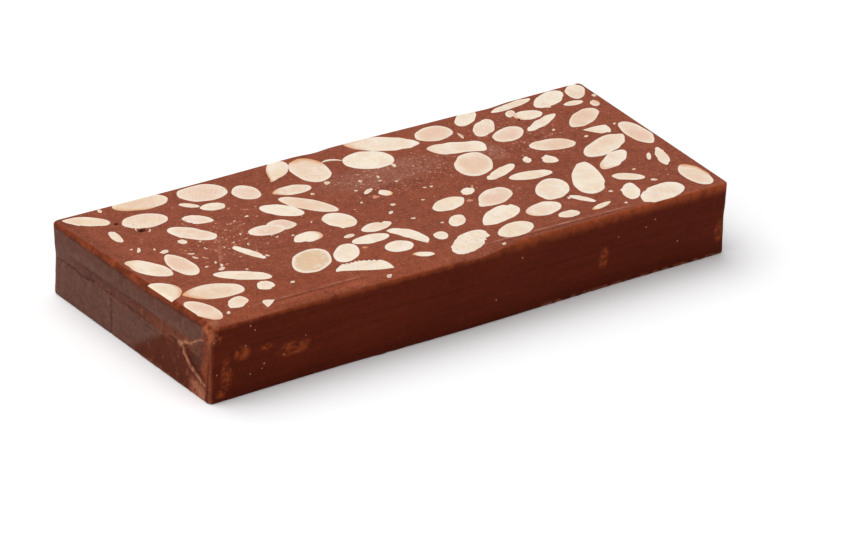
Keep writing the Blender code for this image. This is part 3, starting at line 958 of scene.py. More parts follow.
def nut_parts(loop, look, proud, bevel, depth, seed, start=0):
    """Points, faces and stored values of a slice: its cut face, its bevelled rim and its buried body."""
    middle = loop.mean(axis=0)
    spokes = loop - middle
    count = len(loop)
    _, vectors = np.linalg.eigh(np.cov(spokes.T))
    long_way = vectors[:, 1]
    short_way = np.array((-long_way[1], long_way[0]))
    points = [np.array([[*middle, face_height(*middle) + proud]])]
    rims = [np.zeros(1)]
    rings = []
    for share in FACE_SHARES:
        ring = middle + spokes * share
        rings.append(np.column_stack((ring, face_height(*ring.T) + proud)))
        rims.append(np.full(count, share))
    rim = np.column_stack((loop, face_height(*loop.T) + proud - bevel))
    rings.append(rim)
    rings.append(rim - (0, 0, min(COLLAR, depth * 0.5)))
    lengthways = np.outer(spokes @ long_way, long_way)
    sideways = np.outer(spokes @ short_way, short_way)
    keel = middle + lengthways * KEEL_LENGTH + sideways * KEEL_WIDTH
    rings.append(np.column_stack((keel, np.full(count, HEIGHT - depth))))
    rims += [np.ones(count)] * 3
    points += rings
    points.append(np.array([[*middle, HEIGHT - depth]]))
    rims.append(np.ones(1))
    points, rims = np.vstack(points), np.concatenate(rims)
    offset = points[:, :2] - middle
    grain = np.column_stack((offset @ long_way, offset @ short_way, np.full(len(points), seed * 7.3)))
    turn = math.radians(look.stain_turn)
    towards = np.array((math.cos(turn), math.sin(turn)))
    lean = offset @ towards / (np.abs(spokes @ towards).max() + 1e-9)
    stain = look.stain * ease((lean - 0.15) / 0.7) * ease((rims - 0.6) / 0.4)
    tint = np.column_stack((np.tile((look.tone, look.pink, look.grain), (len(points), 1)), stain))
    return points, nut_faces(start, count, len(rings)), rims, grain, tint


def nut_object(name, parts, material):
    """One object from the parts of one or more slices."""
    points, faces, rims, grains, tints = zip(*parts)
    made = mesh_object(name, np.vstack(points), [face for group in faces for face in group], material)
    store(made.data, "rim", np.concatenate(rims))
    store(made.data, "grain_at", np.vstack(grains), "FLOAT_VECTOR")
    store(made.data, "tint", np.vstack(tints), "FLOAT_COLOR")
    made.data.shade_smooth()
    made.data.set_sharp_from_angle(angle=math.radians(SHARP_ANGLE))
    return made


def almond_loop(number, node, settings):
    """An almond's rim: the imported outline, uneven, and with its own notches, spurs and teeth."""
    draw = random.Random(100 + number)
    if number in RECUT:
        loop = slice_loop(RECUT[number], RECUT_POINTS, draw)
    else:
        loop = smooth_loop(packed_rim(node), RIM_STEPS)
    if number in SHIFTS:
        loop = shift_loop(loop, SHIFTS[number])
    loop = grow_loop(loop, settings.growth / MM)
    lengths = np.cumsum(np.linalg.norm(np.roll(loop, -1, axis=0) - loop, axis=1))
    turns = lengths / lengths[-1] * math.tau
    uneven = sum(
        draw.uniform(-1, 1) / order * np.sin(order * turns + draw.uniform(0, math.tau))
        for order in range(3, 9)
    )
    amount = settings.unevenness / MM * uneven
    for spacing, depth in ((FACET_LENGTH, settings.facets / MM), (JAG_LENGTH, JAGGED.get(number, 0.0))):
        knots = np.arange(0.0, 1.0, spacing / lengths[-1]) * math.tau
        strays = [draw.uniform(-1, 0.6) for _ in knots]
        amount = amount + depth * np.interp(turns, knots, strays, period=math.tau)
    x, y = loop.T
    if number in TEETH:
        first, last, pitch, depth = TEETH[number]
        on = ease((x - first) / 0.5) * ease((last - x) / 0.5) * (y > y.mean())
        amount = amount - depth * on * (0.5 + 0.5 * np.sin(x * math.tau / pitch)) ** 2
    for dent in DENTS:
        if dent.almond == number:
            amount = amount - dent.depth * mound(np.hypot(x - dent.x, y - dent.y), dent.radius)
    return keep_on_slab(grow_loop(loop, amount), NEAR_MARGIN, LEFT_MARGIN)


# The small slices.
CHIPS = (
    Slice(40.2, 68.4, 6.4, 2.6, -42, 0.1),
    Slice(46.1, 64.2, 8.4, 4.8, -8, 0.0, 0.35),
    Slice(8.6, 61.6, 7.6, 3.1, 82, -0.35, -0.1, ragged=0.1, look=Look(0.3, 0.0, 0.8)),
    Slice(36.9, 59.3, 9.5, 5.3, -30, 0.35, 0.1, -0.1, ragged=0.12, look=Look(0.15, 0.5)),
    Slice(16.3, 9.3, 8.4, 5.0, 28, -0.45, 0.5, ragged=0.09, look=Look(0.4, 0.4)),
    Slice(30.0, 14.3, 6.0, 5.0, 10, 0.0, 0.3, ragged=0.12, look=Look(0.3, 0.3)),
    Slice(38.0, 34.3, 11.2, 3.2, -67, -0.6, -0.4, ragged=0.14, look=Look(0.0, 0.0, 0.6)),
    Slice(51.6, 43.4, 12.6, 6.6, -8, 0.4, 0.0, ragged=0.03, look=Look(0.35, 1.0)),
    Slice(168.2, 72.6, 5.2, 3.0, 42, look=Look(0.3, 0.7)),
    Slice(173.0, 69.1, 10.0, 6.4, -5, look=Look(0.15, 0.2, 0.2, 0.6, 200)),
    Slice(191.4, 69.2, 7.6, 3.0, -3, 0.1, 0.2),
    Slice(186.2, 51.6, 9.2, 5.0, -6, -0.3, 1.6, 0.4, -0.75, ragged=0.08, look=Look(0.2, 0.3)),
    Slice(121.8, 34.9, 6.0, 4.0, 32, 0.5, 0.2, ragged=0.22, look=Look(0.0, 0.1)),
    Slice(106.9, 20.6, 8.4, 4.8, 38),
    Slice(140.3, 7.3, 7.6, 4.2, -4, ragged=0.1, look=Look(0.4)),
    Slice(150.6, 13.8, 8.4, 2.8, -55, ragged=0.14, look=Look(0.1)),
    Slice(152.8, 7.0, 8.4, 2.2, 12, look=Look(0.5, 0.0, 0.0, 1.0, 180)),
    Slice(96.2, 14.9, 5.4, 4.4, 45, look=Look(0.3, 0.1)),
    Slice(83.9, 7.6, 6.8, 3.0, -25, -0.2, 0.3, look=Look(0.3, 0.0, 0.0, 1.0, 150)),
    Slice(24.5, 49.4, 2.8, 2.8, 0, ragged=0.1, look=Look(0.2, 0.2)),
    Slice(16.2, 46.7, 3.0, 1.9, 10, ragged=0.2, look=Look(0.3, 0.6)),
    Slice(25.0, 4.2, 4.9, 3.0, 31, 1.3, 1.3, 0.0, 0.85, ragged=0.05, look=Look(0.2, 0.3)),
    Slice(94.5, 49.8, 4.8, 1.7, 25, ragged=0.1, look=Look(0.0, 0.8)),
    Slice(98.7, 46.3, 4.4, 3.8, -40, 0.0, -0.3, ragged=0.12, look=Look(0.4, 0.0, 0.0, 1.0, -60)),
    Slice(96.9, 71.9, 7.0, 0.9, -18, bend=1.3, ragged=0.02, look=Look(0.2, 0.2)),
    Slice(197.7, 65.9, 4.2, 3.2, 60, look=Look(0.5, 1.0, 0.0, 0.8, 0)),
    Slice(188.2, 26.9, 5.2, 1.5, 53, look=Look(0.2, 0.3)),
    Slice(71.2, 28.1, 4.0, 1.9, 8, look=Look(0.4, 0.7)),
    Slice(152.2, 43.6, 4.2, 2.6, 60, 0.5, 0.4, ragged=0.16, look=Look(0.2, 0.2)),
    Slice(158.9, 40.7, 5.6, 5.2, 68, 1.0, -0.3, -0.2, ragged=0.14, look=Look(0.2, 0.3)),
)

# Crumbs that can be told apart, as (x, y, length, width, turn), and how far a curled one bends. Straight
# ones no wider than RUBBED_WIDTH are rubbed with chocolate.
RUBBED_WIDTH = 0.75
CRUMBS = (
    (13.9, 78.3, 2.2, 1.4, 60), (9.5, 51.0, 3.0, 1.0, 50), (22.0, 39.0, 2.0, 0.8, -60),
    (21.5, 32.3, 1.4, 0.8, 0), (26.0, 31.2, 1.6, 0.9, 70), (10.3, 5.3, 1.6, 1.1, 30),
    (38.3, 12.0, 1.6, 1.0, 20), (86.6, 60.2, 2.6, 1.8, 30), (78.2, 56.3, 1.5, 1.2, 0),
    (96.5, 56.5, 1.5, 1.1, 90), (91.3, 51.8, 1.2, 0.9, 0), (112.3, 60.5, 2.4, 1.3, 80),
    (103.2, 56.2, 1.6, 0.8, 60), (102.2, 53.7, 1.2, 0.9, 0), (111.5, 43.3, 1.1, 0.8, 0),
    (113.8, 43.0, 1.2, 1.0, 0), (66.8, 1.9, 1.9, 1.2, 0), (91.9, 34.4, 2.0, 1.2, 30),
    (95.8, 38.6, 1.8, 1.4, 0), (95.7, 28.3, 1.6, 1.0, 0), (110.3, 1.5, 1.4, 0.9, 0),
    (101.8, 21.5, 1.2, 0.8, 0), (105.9, 36.8, 1.2, 0.8, 0), (147.0, 16.0, 1.6, 1.1, 40),
    (178.9, 13.0, 2.4, 1.3, -30), (161.7, 13.3, 1.4, 1.0, 0), (160.8, 4.8, 1.3, 1.0, 0),
    (178.0, 22.0, 1.4, 0.8, 0), (201.2, 70.4, 2.0, 1.2, 60), (182.4, 70.4, 1.5, 1.0, 0),
    (173.2, 56.5, 1.5, 0.9, 30), (179.5, 47.8, 1.6, 1.2, 0), (193.6, 50.7, 1.5, 0.9, 30),
    (143.8, 67.0, 3.8, 0.9, 80), (106.6, 51.2, 1.1, 0.8, 0), (88.0, 44.4, 1.2, 0.8, 40),
    (56.4, 36.6, 1.3, 0.8, 0), (44.2, 52.0, 1.3, 0.7, 20), (40.5, 49.5, 1.6, 0.7, 10),
    (34.0, 45.4, 1.1, 0.7, 0), (17.0, 62.6, 1.6, 0.4, 70, 0.4), (19.8, 60.4, 2.0, 0.4, 50, -0.5),
    (152.9, 46.4, 1.6, 0.3, 70), (124.9, 36.9, 2.4, 0.7, 40), (22.4, 41.6, 2.0, 0.8, -30),
    (24.6, 37.4, 2.2, 0.7, -60), (22.0, 44.0, 1.2, 0.6, 0), (30.2, 40.2, 1.2, 0.5, -40),
    (25.4, 33.4, 1.6, 0.8, 30), (27.9, 30.9, 1.2, 0.7, 0), (14.2, 49.2, 1.4, 0.8, 70),
    (8.1, 52.4, 1.0, 0.8, 0), (33.0, 44.2, 0.9, 0.4, 60), (36.8, 44.0, 1.3, 0.4, 20),
    (40.1, 44.6, 1.1, 0.4, 40), (42.7, 41.8, 1.3, 0.5, 10), (45.0, 47.0, 1.0, 0.5, -20),
    (47.7, 50.2, 1.2, 0.5, 0), (38.4, 52.6, 1.2, 0.5, 30), (24.8, 29.4, 2.6, 1.6, 40),
    (53.6, 57.8, 1.2, 0.6, 0), (49.5, 60.8, 1.4, 0.6, 20), (51.4, 54.0, 1.5, 0.8, 10),
    (57.6, 58.0, 0.9, 0.6, 0), (31.2, 25.2, 0.8, 0.9, 0), (41.8, 29.6, 1.5, 0.9, -60),
    (50.9, 39.4, 1.5, 0.4, 10, 0.5), (51.5, 38.4, 1.4, 0.4, 5, -0.4),
    (29.6, 46.6, 1.4, 0.4, 30, 0.5), (33.1, 60.4, 1.3, 0.4, -20, 0.5),
    (43.2, 44.9, 1.4, 0.4, 50, 0.5), (37.7, 41.9, 1.5, 0.4, 15, -0.5),
    (41.3, 38.4, 1.3, 0.4, 70, 0.4), (33.1, 40.3, 1.3, 0.4, 80, -0.5),
    (46.2, 52.6, 1.2, 0.4, 0, 0.4), (28.4, 42.4, 1.3, 0.4, 100, 0.4),
    (66.8, 41.0, 1.2, 0.4, 40, 0.4),
)
# Crumbs under a thin skin of chocolate, as (x, y, length, width, turn).
COVERED_CRUMBS = (
    (118.7, 29.5, 2.2, 1.6, 0), (70.8, 19.7, 1.8, 1.2, 0), (94.3, 45.5, 2.6, 1.8, 20),
    (127.8, 29.4, 2.4, 0.9, -10),
)


# ----------------------------------------------------------------------------
# Materials
# ----------------------------------------------------------------------------


# Oval spots, as (middle, reach). In (x, y): the smear of fat and dust that the knife dragged along the cut
# top, with a slight painted sheen in its colour, and where crumbs dust it. In (x, z): the orange-brown
# bloom on the near side.
SMEAR_AND_SHEEN = (((106.0, 57.5), (29.0, 9.0)), ((146.0, 54.0), (6.0, 8.0)))
DUSTED = (((36.0, 44.0), (17.0, 18.0)), ((112.0, 55.0), (34.0, 14.0)))
LIGHTLY_DUSTED = ((158.0, 58.0), (26.0, 18.0))
BLOOM = (
    ((11.9, 13.9), (4.2, 2.8)),
    ((20.9, 13.8), (2.6, 1.2)),
    ((31.0, 10.8), (7.5, 2.8)),
    ((6.3, 8.3), (2.6, 6.4)),
    ((149.5, 10.5), (2.6, 4.5)),
    ((196.5, 9.0), (2.4, 5.0)),
    ((4.4, 2.6), (2.6, 1.6)),
)
# Thin pale scratches on the cut top, as (start, end, width) in (x, y).
SCRATCHES = (
    ((24.6, 29.5), (36.6, 47.5), 0.7),
    ((31.6, 40.5), (36.4, 40.9), 0.5),
    ((135.0, 27.5), (139.5, 29.8), 1.2),
    ((143.0, 51.0), (149.5, 57.5), 0.8),
    ((20.0, 44.0), (24.0, 40.0), 0.8),
    ((13.0, 55.0), (15.6, 57.5), 0.8),
)
# Pale specks on the near side, as (x, z).
SPECKS = (
    (2.0, 19.4), (13.3, 15.9), (27.3, 9.6), (20.1, 8.5), (19.3, 7.1), (15.0, 6.4), (16.7, 20.0),
    (15.1, 21.7), (35.3, 13.7), (2.9, 9.1), (107.0, 7.4), (116.5, 19.2), (155.0, 16.7),
    (166.0, 17.4), (169.5, 19.2), (179.5, 9.3),
)


class Value:
    """A number that a material works out at each point, with Python's own arithmetic."""

    def __init__(self, graph, socket):
        self.graph = graph
        self.socket = socket

    def maths(self, operation, first, second=None, clamp=False):
        values = {0: first} if second is None else {0: first, 1: second}
        return self.graph.node("ShaderNodeMath", {"operation": operation, "use_clamp": clamp}, values)

    def __add__(self, other):
        return self.maths("ADD", self, other)

    def __radd__(self, other):
        return self.maths("ADD", other, self)

    def __sub__(self, other):
        return self.maths("SUBTRACT", self, other)

    def __rsub__(self, other):
        return self.maths("SUBTRACT", other, self)

    def __mul__(self, other):
        return self.maths("MULTIPLY", self, other)

    def __rmul__(self, other):
        return self.maths("MULTIPLY", other, self)

    def __truediv__(self, other):
        return self.maths("DIVIDE", self, other)

    def size(self):
        return self.maths("ABSOLUTE", self)

    def wave(self):
        return self.maths("SINE", self)

    def least(self, other):
        return self.maths("MINIMUM", self, other)

    def most(self, other):
        return self.maths("MAXIMUM", self, other)

    def clamped(self):
        return self.maths("ADD", self, 0.0, clamp=True)

    def between(self, low, high):
        """0 at low and 1 at high, easing from one to the other. low may be the higher of the two."""
        settings = {"interpolation_type": "SMOOTHSTEP"}
        flipped = low > high
        bounds = {"From Min": min(low, high), "From Max": max(low, high)}
        made = self.graph.node("ShaderNodeMapRange", settings, {"Value": self, **bounds})
        return 1.0 - made if flipped else made


def varied(level, *noises):
    """A level raised and lowered by noises around 0.5, each given with its amount."""
    return sum(((noise - 0.5) * amount for noise, amount in noises), level)


class Graph:
    """A material's node tree."""

    def __init__(self, name):
        self.material = bpy.data.materials.new(name)
        self.material.use_nodes = True
        self.tree = self.material.node_tree
        self.shader = self.tree.nodes["Principled BSDF"]

    def node(self, kind, settings=(), values=(), output=0):
        """Adds a node: its settings first, then the values or links of its inputs."""
        made = self.tree.nodes.new(kind)
        for name, setting in dict(settings).items():
            setattr(made, name, setting)
        for name, value in dict(values).items():
            self.feed(made.inputs[name], value)
        return Value(self, made.outputs[output])

    def feed(self, socket, value):
        if isinstance(value, Value):
            self.tree.links.new(value.socket, socket)
        elif isinstance(value, (int, float)):
            socket.default_value = value
        else:
            value = tuple(value)
            socket.default_value = value if len(value) == len(socket.default_value) else (*value, 1.0)

    def attribute(self, name, output="Fac"):
        return self.node("ShaderNodeAttribute", {"attribute_name": name}, output=output)

    def split(self, vector):
        parts = self.node("ShaderNodeSeparateXYZ", (), {0: vector})
        outputs = parts.socket.node.outputs
        return [Value(self, outputs[n]) for n in range(3)]

    def join(self, x, y, z):
        return self.node("ShaderNodeCombineXYZ", (), {0: x, 1: y, 2: z})

    def bar_place(self):
        """The place on the bar, in millimetres in its layout."""
        place = self.node("ShaderNodeTexCoord", output="Object")
        scale = {"Location": (*MIDDLE, 0.0), "Scale": (1 / MM, 1 / MM, 1 / MM)}
        return self.node("ShaderNodeMapping", (), {"Vector": place, **scale})

    def vector_maths(self, operation, *values, output=0):
        settings = {"operation": operation}
        return self.node("ShaderNodeVectorMath", settings, dict(enumerate(values)), output)

    def stretched(self, vector, turn, lengths):
        """A place turned about the upright axis and divided by lengths, for a pattern longer one way."""
        settings = {"rotation_type": "Z_AXIS"}
        values = {"Vector": vector, "Angle": -math.radians(turn)}
        turned = self.node("ShaderNodeVectorRotate", settings, values)
        return self.vector_maths("DIVIDE", turned, lengths)

    def noise(self, vector, size, detail=2.0, roughness=0.5):
        """Soft noise around 0.5, with lumps of about this size in millimetres."""
        values = {"Vector": vector, "Scale": 1.0 / size, "Detail": detail, "Roughness": roughness}
        return self.node("ShaderNodeTexNoise", (), values)

    def mix(self, share, first, second):
        """A colour between two. The share is kept between 0 and 1."""
        settings = {"data_type": "RGBA", "clamp_factor": True}
        return self.node("ShaderNodeMix", settings, {0: share, 6: first, 7: second}, output=2)

    def scaled(self, colour, amount):
        """A colour made lighter or darker."""
        return self.node("ShaderNodeVectorMath", {"operation": "SCALE"}, {0: colour, "Scale": amount})

    def blot(self, place, middle, reach, lumps=None):
        """1 in the middle of an oval spot and 0 outside it. lumps is noise that breaks its edge up."""
        shares = [(value - centre) / size for value, centre, size in zip(place, middle, reach)]
        nearness = 1.0 - shares[0] * shares[0] - shares[1] * shares[1]
        if lumps is None:
            return nearness.between(0.0, 0.85)
        return (nearness.most(-1.0) * 0.8 + (lumps - 0.5) * 3.0).between(0.25, 1.0)

    def patches(self, place, spots):
        """1 in the middle of any of some oval spots, each a (middle, reach), and 0 outside them."""
        return reduce(Value.most, (self.blot(place, *spot) for spot in spots))

    def specks(self, place, spacing, reach):
        """Small spots, some strong and some faint, about this far apart in millimetres."""
        nearness = self.node("ShaderNodeTexVoronoi", (), {"Vector": place, "Scale": 1.0 / spacing})
        chance = self.split(Value(self, nearness.socket.node.outputs["Color"]))[0]
        return nearness.between(reach / spacing, 0.35 * reach / spacing) * chance.between(0.5, 0.9)

    def off_line(self, flat, points):
        """The distance from a line through points, given in the two numbers of the vector flat."""
        stretches = []
        for (u0, v0), (u1, v1) in zip(points, points[1:]):
            way = (u1 - u0, v1 - v0, 0.0)
            span = way[0] ** 2 + way[1] ** 2
            off = self.vector_maths("SUBTRACT", flat, (u0, v0, 0.0))
            rate = (way[0] / span, way[1] / span, 0.0)
            share = self.vector_maths("DOT_PRODUCT", off, rate, output=1).clamped()
            stretches.append(self.vector_maths("DISTANCE", off, self.scaled(way, share), output=1))
        return reduce(Value.least, stretches)

    def dot(self, flat, place, radius):
        """1 on a small round spot and 0 off it, given in the two numbers of the vector flat."""
        away = self.vector_maths("DISTANCE", flat, (*place, 0.0), output=1)
        return away.between(radius, 0.4 * radius)

    def stroke(self, place, start, end, width):
        """1 along a straight thin mark and 0 off it."""
        length = math.dist(start, end)
        way = [(b - a) / length for a, b in zip(start, end)]
        offset = [value - begun for value, begun in zip(place, start)]
        off = (offset[0] * way[1] - offset[1] * way[0]).size()
        on = (offset[0] * way[0] + offset[1] * way[1] - length / 2).size()
        return off.between(width, 0.1 * width) * on.between(length / 2, length / 2 - 2.0)

    def bump(self, height, distance, strength=1.0):
        values = {"Height": height, "Distance": distance, "Strength": strength}
        return self.node("ShaderNodeBump", (), values)

    def finish(self, **values):
        """Feeds the shader, names with spaces written with underscores."""
        for name, value in values.items():
            self.feed(self.shader.inputs[name.replace("_", " ")], value)
        return self.material


class Ground(NamedTuple):
    """What the chocolate's patterns are made of: the place on the bar, and noises around 0.5."""

    place: Value
    x: Value
    y: Value
    z: Value
    broad: Value
    blotches: Value
    lumps: Value
    fine: Value
    grit: Value
    drag: Value
    level: Value


def chocolate_ground(graph):
    """The place in millimetres, noises from broad to fine, the knife's drag and the level streaks."""
    place = graph.bar_place()
    return Ground(
        place,
        *graph.split(place),
        broad=graph.noise(place, 34.0, 3.0),
        blotches=graph.noise(place, 6.0, 4.0, 0.6),
        lumps=graph.noise(place, 2.4, 5.0, 0.68),
        fine=graph.noise(place, 0.8, 3.0, 0.6),
        grit=graph.noise(place, 0.42, 2.0, 0.6),
        drag=graph.noise(graph.stretched(place, 4.0, (16.0, 0.9, 4.0)), 1.0, 4.0, 0.6),
        level=graph.noise(graph.stretched(place, 0.0, (26.0, 26.0, 1.5)), 1.0, 4.0, 0.55),
    )


def cut_top(graph, ground, settings, cut):
    """The colour where the knife went: mottled, dusted with crumbs, a slight painted sheen on its smear,
    and painted shade and highlight along the groove by the near shoulder.
    """
    place, x, y, _, broad, blotches, lumps, fine, grit, drag, _ = ground
    light = varied(0.96, (broad, 0.2), (blotches, 0.42), (lumps, 0.65), (drag, 0.2))
    light = varied(light, (fine, 0.9), (grit, 0.8))
    streaks = graph.noise(graph.stretched(place, 0.0, (24.0, 0.9, 24.0)), 1.0, 3.0, 0.6)
    light = light + (streaks - 0.5) * y.between(9.0, 4.5) * 0.7
    front = y.between(22.0, 12.0) * x.between(100.0, 70.0) * 0.25
    top = graph.scaled(graph.mix(front, settings.cut_colour, settings.edge_highlight_colour), light)

    # The knife's smear over the middle, with a slight painted sheen in its colour, and a darker band before
    # it.
    speckle = 0.02 + blotches.between(0.35, 0.6) * 0.24 + fine.between(0.4, 0.6) * 0.44
    speckle = speckle + grit.between(0.44, 0.58) * 0.4
    smear_and_sheen = graph.patches((x, y), SMEAR_AND_SHEEN) * speckle * (0.6 + drag.between(0.4, 0.6) * 0.5)
    top = graph.mix(smear_and_sheen * 0.95, top, settings.smear_and_sheen_colour)
    top = graph.scaled(top, 1.0 - graph.blot((x, y), (106.0, 48.8), (24.0, 3.0)) * 0.08)

    # Scratches, dust too fine for the mesh, and painted shade in small pocks.
    scratches = reduce(Value.most, (graph.stroke((x, y), *scratch) for scratch in SCRATCHES))
    top = graph.mix(scratches * fine.between(0.3, 0.62) * 0.4, top, settings.fleck_and_highlight_colour)
    dusted = graph.patches((x, y), DUSTED).most(graph.blot((x, y), *LIGHTLY_DUSTED) * 0.8)
    dusted = 0.22 + dusted * 0.78
    pale = graph.specks(place, 1.5, 0.6).most(graph.specks(place, 0.8, 0.34) * 0.7)
    top = graph.mix(pale * dusted * 0.8, top, settings.fleck_and_highlight_colour)
    strewn = graph.specks(graph.stretched(place, 20.0, (1.0, 1.0, 1.0)), 2.1, 0.5) * (dusted - 0.2)
    top = graph.mix(strewn * 0.9, top, settings.dust_colour)
    pock_shade = graph.specks(graph.stretched(place, 30.0, (1.0, 1.0, 1.0)), 1.7, 0.6)
    top = graph.scaled(top, 1.0 - pock_shade * 0.14)

    # Painted shade in the groove and a painted highlight beside it, in two stretches, and the lighter roll
    # of the shoulder.
    left_line = y - 5.2 + x * 0.0156
    right_line = y - 6.4 + x * 0.0222
    on_left = x.between(14.0, 26.0) * x.between(66.0, 50.0)
    on_right = x.between(98.0, 114.0) * x.between(170.0, 146.0)
    groove_shade = left_line.size().between(0.5, 0.1) * on_left * 0.3
    groove_shade = groove_shade.most((right_line + 1.2).size().between(0.9, 0.2) * on_right * 0.22)
    top = graph.scaled(top, 1.0 - groove_shade * (0.4 + lumps * 1.2))
    groove_highlight = (left_line - 0.9).size().between(0.6, 0.1) * on_left * 0.22
    groove_highlight = groove_highlight.most(right_line.size().between(0.5, 0.1) * on_right * 0.4)
    groove_highlight = groove_highlight * (0.3 + graph.noise(place, 4.0, 3.0).between(0.4, 0.58))
    top = graph.mix(groove_highlight * (fine + lumps), top, settings.fleck_and_highlight_colour)
    near_roll = (1.0 - cut) * y.between(8.0, 4.0) * (0.24 - on_right * 0.3)
    return graph.scaled(top, 1.0 + near_roll - x.between(7.0, 1.0) * y.between(30.0, 56.0) * 0.16)


def moulded_side(graph, ground, settings):
    """The colour of the moulded sides: even and dark, with level streaks, bloom and a few specks, and a
    painted shade towards the base.
    """
    _, x, y, z, broad, _, lumps, fine, _, _, level = ground
    light = varied(0.98, (broad, 0.3), (level, 0.65), (lumps, 0.45), (fine, 0.6))
    # Painted shade: darker towards the base.
    side = graph.scaled(settings.moulded_colour, light - z.between(8.0, 0.5) * 0.14)
    seam = (z - 15.7 + (x - 18.0) * 0.017).size().between(0.5, 0.05)
    seam = seam * x.between(6.0, 20.0) * x.between(190.0, 150.0)
    side = graph.scaled(side, 1.0 - seam * 0.15)
    near_face = y.between(4.0, 2.0)
    broken = 0.12 + lumps.between(0.4, 0.64) * 0.85 + (fine - 0.5) * 1.2
    side = graph.mix(graph.patches((x, z), BLOOM) * broken * near_face, side, settings.bloom_colour)
    lip = z.between(1.3, 0.5) * x.between(116.0, 126.0) * lumps.between(0.44, 0.6)
    side = graph.mix(lip * near_face * 0.8, side, settings.ridge_and_highlight_colour)
    flat = graph.join(x, z, 0.0)
    dots = [graph.dot(flat, speck, 0.3 + 0.04 * (n % 4)) for n, speck in enumerate(SPECKS)]
    return graph.mix(reduce(Value.most, dots) * near_face * 0.6, side, settings.fleck_and_highlight_colour)


def folded_end(graph, ground, settings, film, warm):
    """The colour of the folded end: a painted greyish reflection of the pale floor, its folds with painted
    shade and highlight along them, and their worn ridges.
    """
    _, _, y, z, _, blotches, lumps, fine, grit, _, level = ground
    breakup = varied(0.55, (lumps, 2.0), (fine, 1.2))
    unsheened = graph.scaled(settings.end_colour, varied(1.0, (blotches, 0.8), (fine, 0.5)))
    unsheened = graph.mix(lumps.between(0.56, 0.72) * 0.6, unsheened, settings.ridge_and_highlight_colour)
    # The greyish colour is a painted reflection of the pale floor over the end's own colour.
    sheen_variation = varied(0.94, (level, 0.45), (lumps, 0.6), (fine, 0.75), (grit, 0.5))
    dull = graph.scaled(settings.painted_sheen_colour, sheen_variation)
    folded = graph.mix(film * (0.75 + (lumps - 0.4) * 1.2), unsheened, dull)

    # The warmer brown beside the near corner, and the darker blot at the top of the folded-in triangle.
    strip = y.between(7.5, 4.0) * z.between(3.5, 7.5)
    ridge = graph.mix(strip * 0.85, settings.ridge_and_highlight_colour, graph.scaled(settings.edge_highlight_colour, 0.9))
    folded = graph.scaled(folded, 1.0 - graph.blot((y, z), (6.8, 12.0), (4.0, 4.4)) * 0.24)
    folded = graph.mix(warm * breakup * 1.7, folded, ridge)

    # Painted shade in the folds, with a painted highlight on their paler side, and worn ridges.
    crumpled_y = varied(y, (lumps, 1.3), (fine, 0.5))
    crumpled_z = varied(z, (blotches, 1.6), (fine, 0.5))
    crumpled = graph.join(crumpled_y, crumpled_z, 0.0)
    worn_lines, crease_shade_lines, crease_highlight_sides = [], [], []
    for crease in CREASES:
        if abs(crease.shade) < FAINT_SHADE:
            continue
        away = graph.off_line(crumpled, crease.points)
        if crease.shade < 0:
            worn_lines.append(away.between(crease.width * 0.95, 0.1) * abs(crease.shade))
        else:
            crease_shade_lines.append(away.between(crease.width * 1.5, 0.0) * crease.shade)
            crease_highlight_sides.append(away.between(crease.width * 3.2, crease.width * 1.8))
    worn_line, crease_shade_line, crease_highlight_side = (
        reduce(Value.most, lines) for lines in (worn_lines, crease_shade_lines, crease_highlight_sides)
    )
    folded = graph.scaled(folded, 1.0 + crease_highlight_side * (lumps - 0.36) * 0.8)
    ridges = worn_line * (0.3 + lumps.between(0.34, 0.6) * 0.65 + (fine - 0.5) * 0.6)
    folded = graph.mix(ridges, folded, settings.worn_colour)
    folded = graph.scaled(folded, 1.0 - crease_shade_line * varied(0.2, (lumps, 0.8)))
    return graph.mix(warm.between(0.6, 1.0) * (breakup - 0.2), folded, settings.worn_colour)


